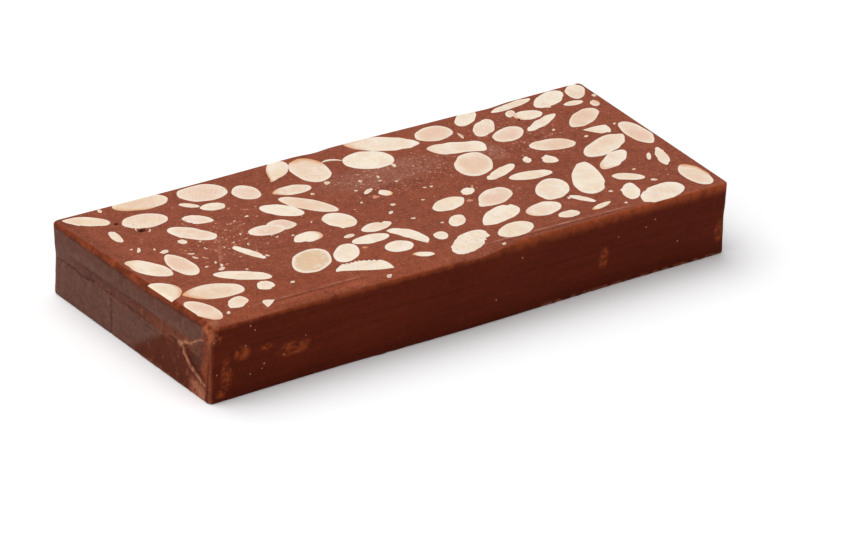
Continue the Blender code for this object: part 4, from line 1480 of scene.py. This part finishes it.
def chocolate_material(settings):
    """Reddish brown where the knife went, dark where the mould was, greyish on the folded end, where a
    reflection of the pale floor is painted.
    """
    graph = Graph("chocolate")
    ground = chocolate_ground(graph)
    _, x, y, z, _, blotches, lumps, fine, _, drag, _ = ground
    marks = ("cut", "end", "film", "warm", "hollow", "rim_band", "worn")
    cut, end, film, warm, hollow, rim_band, worn = (graph.attribute(name) for name in marks)

    top = cut_top(graph, ground, settings, cut)
    side = moulded_side(graph, ground, settings)
    side = graph.mix(end, side, folded_end(graph, ground, settings, film, warm))
    # A painted highlight down the upright corner between the folded end and the near side.
    breakup = varied(0.55, (lumps, 2.0), (fine, 1.2), (blotches, 1.5))
    side = graph.mix(worn * breakup, side, settings.ridge_and_highlight_colour)
    # Painted shade in the creases, rings and pits.
    side = graph.scaled(side, 1.0 - hollow * 0.42)

    # The painted orange-brown highlight under the top edge, the worn near corner above, and the rolled
    # shoulder.
    highlight_strength = varied(0.9, (blotches, 1.3), (lumps, 1.2), (fine, 0.5))
    under = rim_band.between(0.0, 0.4) * rim_band.between(0.95, 0.5) * end * 0.35
    highlight_strength = highlight_strength + x.between(110.0, 160.0) * 0.15 - end * 0.25 - under
    rim = graph.scaled(settings.edge_highlight_colour, highlight_strength)
    side = graph.mix(rim_band * (1.0 - end * 0.1), side, rim)
    corner = graph.blot((x, y), (2.2, 2.0), (3.6, 3.4), lumps) * z.between(17.5, 22.5)
    orange = graph.mix(0.4, settings.ridge_and_highlight_colour, settings.edge_highlight_colour)
    side = graph.mix(corner, side, graph.scaled(orange, 1.35))
    top = graph.mix(corner * 0.5, top, settings.worn_colour)
    level_cut = cut - end * (0.42 + blotches * 0.6) - x.between(98.0, 118.0) * (0.2 + blotches * 0.5)
    colour = graph.mix(level_cut.between(0.0, 0.2), side, top)
    # Painted shade in the air bubbles' pits on the cut top.
    colour = graph.scaled(colour, 1.0 - hollow * cut * 0.68)

    rough = 0.4 + cut * 0.2 + film * 0.05 + (fine - 0.5) * 0.14
    height = drag * cut * 0.5 + fine * (0.25 + cut * 0.6) + lumps * 0.4
    return graph.finish(
        Base_Color=colour,
        Roughness=rough.clamped(),
        Coat_Weight=(film * 0.07).clamped(),
        Coat_Roughness=0.4,
        Specular_IOR_Level=0.02,
        Normal=graph.bump(height, 0.06 * MM),
    )


def almond_material(settings):
    """A cut almond: cream with a pink or tan cast, a faint grain, a paler edge, and some orange skin."""
    graph = Graph("almond")
    place = graph.attribute("grain_at", "Vector")
    rim = graph.attribute("rim")
    tone, pink, grain = graph.split(graph.attribute("tint", "Color"))
    stain = graph.attribute("tint", "Alpha")

    broad = graph.noise(place, 6.0, 3.0, 0.55)
    mottle = graph.noise(place, 2.0, 4.0, 0.62)
    fine = graph.noise(place, 0.7, 3.0, 0.6)
    deep = rim.between(0.95, 0.25)
    cast = varied(tone * (0.78 + deep * 0.4), (mottle, 1.6), (broad, 1.6), (fine, 1.0))
    colour = graph.mix(cast, settings.white_colour, settings.tan_colour)
    darkest = tone.between(0.85, 1.0)
    inner = rim.between(1.0, 0.72) * varied(0.4, (mottle, 2.0)) * (1.0 - pink * 0.8) * (1.0 - darkest)
    colour = graph.mix(inner, colour, settings.cream_colour)
    heart = rim.between(1.0, 0.4) * (broad.between(0.3, 0.6) * 0.7 + mottle * 0.6)
    colour = graph.mix(pink * heart, colour, settings.pink_colour)
    blush = graph.noise(graph.stretched(place, 20.0, (1.0, 0.8, 1.0)), 3.0, 3.0, 0.6).between(0.46, 0.64)
    colour = graph.mix(blush * 0.25, colour, settings.pink_colour)

    # The grain: fine lines, and on some almonds an even hatching.
    lines = graph.noise(graph.stretched(place, 66.0, (4.0, 0.42, 1.0)), 1.0, 2.0, 0.5)
    cross = graph.noise(graph.stretched(place, -8.0, (3.0, 0.5, 1.0)), 1.0, 2.0, 0.5)
    hatch = lines.between(0.46, 0.58) * (0.35 + cross.between(0.44, 0.58) * 0.65)
    u, v, _ = graph.split(place)
    rows = (u * 7.4 + v * 2.6 + fine * 2.0).wave()
    columns = (v * 6.8 - u * 2.2 + mottle * 2.0).wave()
    hatch = hatch.most(grain.between(0.65, 1.0) * (rows + columns).between(0.0, 1.2))
    colour = graph.mix(grain * hatch * 0.95, colour, settings.pink_colour)

    # Greyish patches in the darkest one, the paler edge, and the skin round it.
    sallow = darkest * mottle.between(0.36, 0.6) * rim.between(0.94, 0.84) * rim.between(0.2, 0.6)
    colour = graph.mix(sallow * 0.5, colour, settings.sallow_colour)
    colour = graph.mix(rim.between(0.8, 0.93) * (0.45 + darkest * 0.3), colour, settings.white_colour)
    colour = graph.scaled(colour, varied(1.0, (fine, 0.32), (mottle, 0.2)))
    colour = graph.mix(rim.between(0.955, 1.0) * (0.2 + mottle * 0.6), colour, settings.edge_colour)
    colour = graph.mix(stain * (0.4 + mottle * 1.1), colour, settings.skin_colour)
    return graph.finish(
        Base_Color=colour,
        Roughness=(0.62 + (fine - 0.5) * 0.2).clamped(),
        Specular_IOR_Level=0.15,
        Normal=graph.bump(fine + hatch * grain * 0.5, 0.05 * MM),
    )


def covered_material(settings):
    """A crumb that shows through a thin skin of chocolate."""
    graph = Graph("covered_crumb")
    mottle = graph.noise(graph.bar_place(), 0.8, 2.0)
    colour = graph.mix(mottle.between(0.35, 0.6), settings.crumb_colour, settings.cover_colour)
    rough = (0.4 + mottle * 0.2).clamped()
    return graph.finish(Base_Color=colour, Roughness=rough, Specular_IOR_Level=0.3)


def crumb_material(settings):
    """Fine crumbs of almond, some clean and some rubbed with chocolate."""
    graph = Graph("fine_crumb")
    each = graph.noise(graph.bar_place(), 1.1, 2.0, 0.6)
    colour = graph.mix(each.between(0.38, 0.62), settings.crumb_colour, settings.cover_colour)
    rough = (0.5 + each * 0.2).clamped()
    return graph.finish(Base_Color=colour, Roughness=rough, Specular_IOR_Level=0.3)


def floor_material(settings):
    """Plain and matt, and very nearly even."""
    graph = Graph("floor")
    shade = varied(0.995, (graph.noise(graph.bar_place(), 60.0, 2.0), 0.01))
    colour = graph.scaled(settings.floor_colour, shade)
    return graph.finish(Base_Color=colour, Roughness=0.8, Specular_IOR_Level=0.0)


# ----------------------------------------------------------------------------
# Settings
# ----------------------------------------------------------------------------


def colour_property(name, description, default):
    return FloatVectorProperty(
        name=name, description=description, default=default, subtype="COLOR", min=0.0, max=1.0
    )


def length_property(name, description, default):
    return FloatProperty(
        name=name, description=description, default=default, unit="LENGTH", min=0.0, precision=5
    )


def angle_property(name, description, degrees):
    angle = math.radians(degrees)
    return FloatProperty(name=name, description=description, default=angle, subtype="ANGLE")


def power_property(name, description, default):
    return FloatProperty(name=name, description=description, default=default, unit="POWER", min=0.0)


class TurronChocolate(bpy.types.PropertyGroup):
    """Colours of the chocolate."""

    dust_colour: colour_property("Dust", "Fine almond dust on the cut top", (0.66, 0.4, 0.3))
    cut_colour: colour_property("Cut top", "Where the knife went through", (0.258, 0.0695, 0.0374))
    # The knife's smear, with a slight painted sheen in its colour.
    smear_and_sheen_colour: colour_property("Smear", "Where the knife dragged crumbs along", (0.31, 0.13, 0.09))
    # Also the colour of the painted highlight beside the groove along the near shoulder.
    fleck_and_highlight_colour: colour_property("Flecks", "Fine pale flecks", (0.52, 0.25, 0.18))
    moulded_colour: colour_property("Moulded sides", "The smooth dark sides", (0.093, 0.0124, 0.0046))
    bloom_colour: colour_property("Bloom", "Orange-brown patches on the side", (0.25, 0.048, 0.0125))
    # The greyish colour of a painted reflection of the pale floor on the folded end, and the end's own
    # colour under it.
    painted_sheen_colour: colour_property("End film", "The dull film on the folded end", (0.127, 0.054, 0.038))
    end_colour: colour_property("Folded end", "The folded end under its film", (0.085, 0.018, 0.0085))
    # The worn ridges' colour, also used for the painted highlight down the near upright corner.
    ridge_and_highlight_colour: colour_property("Fold ridges", "The worn ridges of the folds", (0.27, 0.086, 0.043))
    worn_colour: colour_property("Worn edges", "The palest worn ridges and corner", (0.36, 0.15, 0.085))
    # The colour of the painted orange-brown highlight under the top edge.
    edge_highlight_colour: colour_property("Edge band", "The band under the top edge", (0.27, 0.053, 0.0175))


class TurronAlmonds(bpy.types.PropertyGroup):
    """Sizes and colours of the almonds."""

    growth: length_property("Growth", "How far a rim goes out past its packed outline", 0.1 * MM)
    unevenness: length_property("Unevenness", "How far a rim strays from an even curve", 0.12 * MM)
    facets: length_property("Facets", "How far the straight facets of a rim stray", 0.32 * MM)
    proud: length_property("Proud", "How far a cut face stands above the chocolate", 0.04 * MM)
    bevel: length_property("Bevel", "How far the rim is rounded down", 0.06 * MM)
    white_colour: colour_property("White", "The palest cut face", (0.83, 0.745, 0.64))
    cream_colour: colour_property("Cream", "The yellower middle of a cut face", (0.83, 0.735, 0.53))
    tan_colour: colour_property("Tan", "The darkest cut face", (0.7, 0.475, 0.3))
    pink_colour: colour_property("Pink", "The pinkish cast of some", (0.73, 0.5, 0.385))
    skin_colour: colour_property("Skin", "The orange skin on some rims", (0.62, 0.26, 0.08))
    edge_colour: colour_property("Rim line", "The thin skin round a cut face", (0.66, 0.42, 0.28))
    sallow_colour: colour_property("Sallow", "Greyish patches in the darkest one", (0.58, 0.44, 0.265))
    cover_colour: colour_property("Covered", "A crumb under a skin of chocolate", (0.53, 0.175, 0.08))
    crumb_colour: colour_property("Fine crumbs", "The cleaner of the finest crumbs", (0.6, 0.31, 0.22))


class TurronCrumbs(bpy.types.PropertyGroup):
    """How the finest crumbs are strewn."""

    density: FloatProperty(
        name="Density", description="The most crumbs per square metre", default=240000.0, min=0.0
    )
    smallest: length_property("Smallest", "Radius of the smallest", 0.08 * MM)
    largest: length_property("Largest", "Radius of the largest", 0.4 * MM)
    seed: IntProperty(name="Seed", description="Which scatter", default=5, min=0)


class TurronStage(bpy.types.PropertyGroup):
    """The floor, lights and camera."""

    floor_colour: colour_property("Floor", "The plain floor", (0.98, 0.98, 0.98))
    key_power: power_property("Key light", "The large soft light above", 45.0)
    side_power: power_property("Side light", "The soft light off the folded end", 2.3)
    surround: FloatProperty(
        name="Surround", description="Brightness of the plain surround", default=0.58, min=0.0
    )
    distance: length_property("Camera distance", "From the point it looks at", 1.54336)
    heading: angle_property("Heading", "The camera's way, from the bar's width to its length", 39.477)
    elevation: angle_property("Elevation", "How far above the horizon the camera stands", 27.229)
    roll: angle_property("Roll", "How far the camera is tilted", 4.873)
    lens: FloatProperty(name="Lens", description="Focal length in millimetres", default=211.76, min=1.0)


class TurronSettings(bpy.types.PropertyGroup):
    """Everything that can be set for the bar."""

    chocolate: PointerProperty(type=TurronChocolate)
    almonds: PointerProperty(type=TurronAlmonds)
    crumbs: PointerProperty(type=TurronCrumbs)
    stage: PointerProperty(type=TurronStage)


# ----------------------------------------------------------------------------
# Operators
# ----------------------------------------------------------------------------


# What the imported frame's own materials are called after, so that this file's can have the plain names.
PACKED = "packed_"


def material_named(name, make, settings):
    """The material of this name, made the first time that it is asked for."""
    return bpy.data.materials.get(name) or make(settings)


class TURRON_OT_chocolate(bpy.types.Operator):
    """Build the moulded slab with its cut top"""

    bl_idname = "turron.chocolate"
    bl_label = "Chocolate"
    bl_options = {"REGISTER", "UNDO"}

    def execute(self, context):
        for material in [m for m in bpy.data.materials if not m.name.startswith(PACKED)]:
            material.name = PACKED + material.name
        settings = context.scene.turron.chocolate
        slab = build_slab(material_named("chocolate", chocolate_material, settings))
        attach(slab, "root")
        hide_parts("chocolate")
        return {"FINISHED"}


class TURRON_OT_almonds(bpy.types.Operator):
    """Build each large cut almond as a piece of its own"""

    bl_idname = "turron.almonds"
    bl_label = "Almonds"
    bl_options = {"REGISTER", "UNDO"}

    def execute(self, context):
        settings = context.scene.turron.almonds
        material = material_named("almond", almond_material, settings)
        nodes = sorted(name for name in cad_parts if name.startswith("almond"))
        if not nodes:
            raise RuntimeError("the packed frame has no almonds")
        for node in nodes:
            number = int(node.rsplit("_", 1)[1])
            loop = almond_loop(number, node, settings)
            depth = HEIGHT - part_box(node)[0].z / MM
            look = LOOKS.get(number, Look())
            part = nut_parts(loop, look, settings.proud / MM, settings.bevel / MM, depth, number)
            nut = nut_object(f"cut_{node}", [part], material)
            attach(nut, "root")
            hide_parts(node)
        return {"FINISHED"}


class TURRON_OT_chips(bpy.types.Operator):
    """Build the small slices and the crumbs that can be told apart"""

    bl_idname = "turron.chips"
    bl_label = "Small slices"
    bl_options = {"REGISTER", "UNDO"}

    def execute(self, context):
        settings = context.scene.turron.almonds
        pale = material_named("almond", almond_material, settings)
        covered = material_named("covered_crumb", covered_material, settings)
        fine = material_named("fine_crumb", crumb_material, settings)
        draw = random.Random(31)
        crumbs, rubbed = [], []
        for x, y, length, width, turn, *curl in CRUMBS:
            bend = curl[0] if curl else draw.uniform(-0.12, 0.12) * length
            look = Look(draw.uniform(0.5, 1.0), draw.uniform(0.4, 1.0))
            turn = turn + draw.uniform(-12, 12)
            crumb = Slice(x, y, length, width, turn, bend=bend, ragged=0.26, look=look)
            (crumbs if curl or width > RUBBED_WIDTH else rubbed).append(crumb)
        hidden = [Slice(*row, ragged=0.24) for row in COVERED_CRUMBS]
        # Each a piece's name, its slices, the points round each, how far they stand up, how deep they go,
        # and their material.
        groups = (
            ("small_slices", CHIPS, 44, 0.05, 1.0, pale),
            ("crumbs", crumbs, 14, 0.12, 0.5, pale),
            ("rubbed_crumbs", rubbed, 12, 0.06, 0.4, fine),
            ("covered_crumbs", hidden, 14, 0.03, 0.5, covered),
        )
        for name, slices, count, proud, depth, material in groups:
            parts, start = [], 0
            for n, piece in enumerate(slices):
                loop = keep_on_slab(slice_loop(piece, count, draw))
                bevel = min(proud, MOST_BEVEL)
                part = nut_parts(loop, piece.look, proud, bevel, depth, FIRST_SEED + n, start)
                start += len(part[0])
                parts.append(part)
            made = nut_object(name, parts, material)
            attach(made, "root")
        return {"FINISHED"}


def crumb_area():
    """A coarse sheet on the cut top that says how thick the finest crumbs lie, off the almonds."""
    columns, rows = 160, 64
    x, y = np.meshgrid(np.linspace(3, 198, columns), np.linspace(5, 78, rows), indexing="ij")
    x, y = x.ravel(), y.ravel()
    z = top_height(x, y) + 0.01
    patchy = 0.5 + 0.5 * waves(21, 17.0)(x) * waves(22, 13.0)(y)
    thick = 0.5 * ease((x - 18) / 15) * ease((132 - x) / 14) * ease((y - 28) / 8) * ease((66 - y) / 10)
    thick = (0.12 + thick) * (0.4 + 0.6 * patchy)
    thick = thick + 0.45 * mound(x - 33, 13) * mound(y - 45, 15)
    thick = thick + 0.4 * mound(x - 116, 14) * mound(y - 45, 8)
    thick = thick + 0.4 * mound(x - 165, 26) * mound(y - 58, 16)
    for chip in CHIPS:
        thick = np.where(np.hypot(x - chip.x, y - chip.y) < chip.length / 2 + 0.3, 0.0, thick)
    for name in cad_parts:
        if name.startswith("almond"):
            rim = packed_rim(name)
            middle = rim.mean(axis=0)
            spokes = rim - middle
            away = np.column_stack((x, y)) - middle
            angles = np.arctan2(spokes[:, 1], spokes[:, 0])
            bearings = np.arctan2(away[:, 1], away[:, 0])
            reach = np.interp(bearings, angles, np.hypot(*spokes.T), period=math.tau)
            thick = np.where(np.hypot(*away.T) < reach + 0.5, 0.0, thick)
    faces = [
        (i * rows + j, (i + 1) * rows + j, (i + 1) * rows + j + 1, i * rows + j + 1)
        for i in range(columns - 1)
        for j in range(rows - 1)
    ]
    material = bpy.data.materials["almond"]
    area = mesh_object("crumb_area", np.column_stack((x, y, z)), faces, material, closed=False)
    store(area.data, "thickness", thick)
    return area


def scatter_tree(material):
    """A node tree that strews small flattened crumbs over a sheet."""
    tree = bpy.data.node_groups.new("strewn_crumbs", "GeometryNodeTree")
    face = tree.interface
    face.new_socket("Geometry", in_out="INPUT", socket_type="NodeSocketGeometry")
    for name in ("Density", "Smallest", "Largest"):
        face.new_socket(name, in_out="INPUT", socket_type="NodeSocketFloat")
    face.new_socket("Seed", in_out="INPUT", socket_type="NodeSocketInt")
    face.new_socket("Geometry", in_out="OUTPUT", socket_type="NodeSocketGeometry")

    def node(kind, values=(), **settings):
        """Adds a node and gives its outputs."""
        made = tree.nodes.new(kind)
        for name, setting in settings.items():
            setattr(made, name, setting)
        for name, value in dict(values).items():
            if isinstance(value, bpy.types.NodeSocket):
                tree.links.new(value, made.inputs[name])
            else:
                made.inputs[name].default_value = value
        return made.outputs

    given = node("NodeGroupInput")
    thickness = node("GeometryNodeInputNamedAttribute", {"Name": "thickness"}, data_type="FLOAT")
    density = node("ShaderNodeMath", {0: given["Density"], 1: thickness[0]}, operation="MULTIPLY")
    scattered = node(
        "GeometryNodeDistributePointsOnFaces",
        {"Mesh": given["Geometry"], "Density": density[0], "Seed": given["Seed"]},
        distribute_method="RANDOM",
    )
    crumb = node("GeometryNodeMeshIcoSphere", {"Radius": 1.0, "Subdivisions": 1})
    limits = {"Min": 0.0, "Max": 1.0, "Seed": given["Seed"]}
    chance = node("FunctionNodeRandomValue", limits, data_type="FLOAT")
    few_large = node("ShaderNodeMath", {0: chance[1], 1: 2.6}, operation="POWER")
    span = node("ShaderNodeMath", {0: given["Largest"], 1: given["Smallest"]}, operation="SUBTRACT")
    more = node("ShaderNodeMath", {0: span[0], 1: few_large[0]}, operation="MULTIPLY")
    size = node("ShaderNodeMath", {0: more[0], 1: given["Smallest"]}, operation="ADD")
    limits = {"Min": (0.8, 0.3, 0.2), "Max": (1.9, 0.8, 0.35), "Seed": 3}
    shape = node("FunctionNodeRandomValue", limits, data_type="FLOAT_VECTOR")
    scale = node("ShaderNodeVectorMath", {0: shape[0], "Scale": size[0]}, operation="SCALE")
    limits = {"Min": (-0.2, -0.2, 0.0), "Max": (0.2, 0.2, math.tau), "Seed": 4}
    turn = node("FunctionNodeRandomValue", limits, data_type="FLOAT_VECTOR")
    lying = {"Points": scattered["Points"], "Rotation": turn[0], "Scale": scale[0]}
    placed = node("GeometryNodeInstanceOnPoints", {"Instance": crumb["Mesh"], **lying})
    real = node("GeometryNodeRealizeInstances", {"Geometry": placed[0]})
    dressed = node("GeometryNodeSetMaterial", {"Geometry": real[0], "Material": material})
    node("NodeGroupOutput", {"Geometry": dressed[0]})
    return tree


class TURRON_OT_crumbs(bpy.types.Operator):
    """Strew the finest crumbs over the cut top"""

    bl_idname = "turron.crumbs"
    bl_label = "Fine crumbs"
    bl_options = {"REGISTER", "UNDO"}

    def execute(self, context):
        settings = context.scene.turron.crumbs
        material = material_named("fine_crumb", crumb_material, context.scene.turron.almonds)
        area = crumb_area()
        tree = scatter_tree(material)
        modifier = area.modifiers.new("strewn crumbs", "NODES")
        modifier.node_group = tree
        for item in tree.interface.items_tree:
            if item.in_out == "INPUT" and item.name != "Geometry":
                modifier[item.identifier] = getattr(settings, item.name.lower())
        context.view_layer.update()
        evaluated = area.evaluated_get(context.evaluated_depsgraph_get())
        mesh = bpy.data.meshes.new_from_object(evaluated)
        if not mesh.polygons:
            raise RuntimeError("no crumbs were strewn")
        made = bpy.data.objects.new("fine_crumbs", mesh)
        context.scene.collection.objects.link(made)
        bpy.data.objects.remove(area)
        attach(made, "root")
        return {"FINISHED"}


class TURRON_OT_stage(bpy.types.Operator):
    """Set up the plain floor, the soft lights and the camera"""

    bl_idname = "turron.stage"
    bl_label = "Stage"
    bl_options = {"REGISTER", "UNDO"}

    def execute(self, context):
        scene = context.scene
        settings = scene.turron.stage
        scene.view_settings.view_transform = "Standard"

        mesh = bpy.data.meshes.new("floor")
        corners = [(FLOOR_REACH * x, FLOOR_REACH * y, 0) for x, y in ((-1, -1), (1, -1), (1, 1), (-1, 1))]
        mesh.from_pydata(corners, [], [(0, 1, 2, 3)])
        mesh.materials.append(material_named("floor", floor_material, settings))
        floor = bpy.data.objects.new("floor", mesh)
        scene.collection.objects.link(floor)

        world = bpy.data.worlds.new("surround")
        world.use_nodes = True
        background = world.node_tree.nodes["Background"]
        background.inputs["Color"].default_value = (1.0, 1.0, 1.0, 1.0)
        background.inputs["Strength"].default_value = settings.surround
        scene.world = world

        self.soft_light("key", *KEY_LIGHT, settings.key_power)
        self.soft_light("end_light", *END_LIGHT, settings.side_power)

        self.camera(settings)
        return {"FINISHED"}

    @staticmethod
    def soft_light(name, place, size, power):
        """A large plain area light that faces the bar."""
        data = bpy.data.lights.new(name, "AREA")
        data.shape = "RECTANGLE"
        data.size, data.size_y = size
        data.energy = power
        light = bpy.data.objects.new(name, data)
        light.location = place
        light.rotation_euler = (-Vector(place)).to_track_quat("-Z", "Y").to_euler()
        bpy.context.scene.collection.objects.link(light)

    @staticmethod
    def camera(settings):
        """A camera that looks at AIM from the set heading, elevation and distance, tilted by roll."""
        sin_h, cos_h = math.sin(settings.heading), math.cos(settings.heading)
        sin_e, cos_e = math.sin(settings.elevation), math.cos(settings.elevation)
        forward = Vector((sin_h * cos_e, cos_h * cos_e, -sin_e))
        level = Vector((cos_h, -sin_h, 0.0))
        upright = Vector((sin_h * sin_e, cos_h * sin_e, cos_e))
        right = level * math.cos(settings.roll) + upright * math.sin(settings.roll)
        up = upright * math.cos(settings.roll) - level * math.sin(settings.roll)
        turn = Matrix((right, up, -forward)).transposed().to_4x4()
        data = bpy.data.cameras.new("camera")
        data.sensor_width = 36.0
        data.lens = settings.lens
        camera = bpy.data.objects.new("camera", data)
        camera.matrix_world = Matrix.Translation(AIM - forward * settings.distance) @ turn
        bpy.context.scene.collection.objects.link(camera)
        bpy.context.scene.camera = camera


class TURRON_PT_panel(bpy.types.Panel):
    """Lists the bar's pieces and settings"""

    bl_idname = "TURRON_PT_panel"
    bl_label = "Chocolate turron bar"
    bl_space_type = "VIEW_3D"
    bl_region_type = "UI"
    bl_category = "Turron"

    def draw(self, context):
        layout = self.layout
        for operator in OPERATORS:
            layout.operator(operator.bl_idname)
        settings = context.scene.turron
        for group in (settings.chocolate, settings.almonds, settings.crumbs, settings.stage):
            box = layout.box()
            for name in group.__annotations__:
                box.prop(group, name)


OPERATORS = (TURRON_OT_chocolate, TURRON_OT_almonds, TURRON_OT_chips, TURRON_OT_crumbs, TURRON_OT_stage)
GROUPS = (TurronChocolate, TurronAlmonds, TurronCrumbs, TurronStage, TurronSettings)


def register():
    for cls in (*GROUPS, *OPERATORS, TURRON_PT_panel):
        bpy.utils.register_class(cls)
    bpy.types.Scene.turron = PointerProperty(type=TurronSettings)


def unregister():
    del bpy.types.Scene.turron
    for cls in reversed((*GROUPS, *OPERATORS, TURRON_PT_panel)):
        bpy.utils.unregister_class(cls)


def main():
    register()
    bpy.ops.turron.chocolate()
    bpy.ops.turron.almonds()
    bpy.ops.turron.chips()
    bpy.ops.turron.crumbs()
    bpy.ops.turron.stage()


if __name__ == "__main__":
    main()
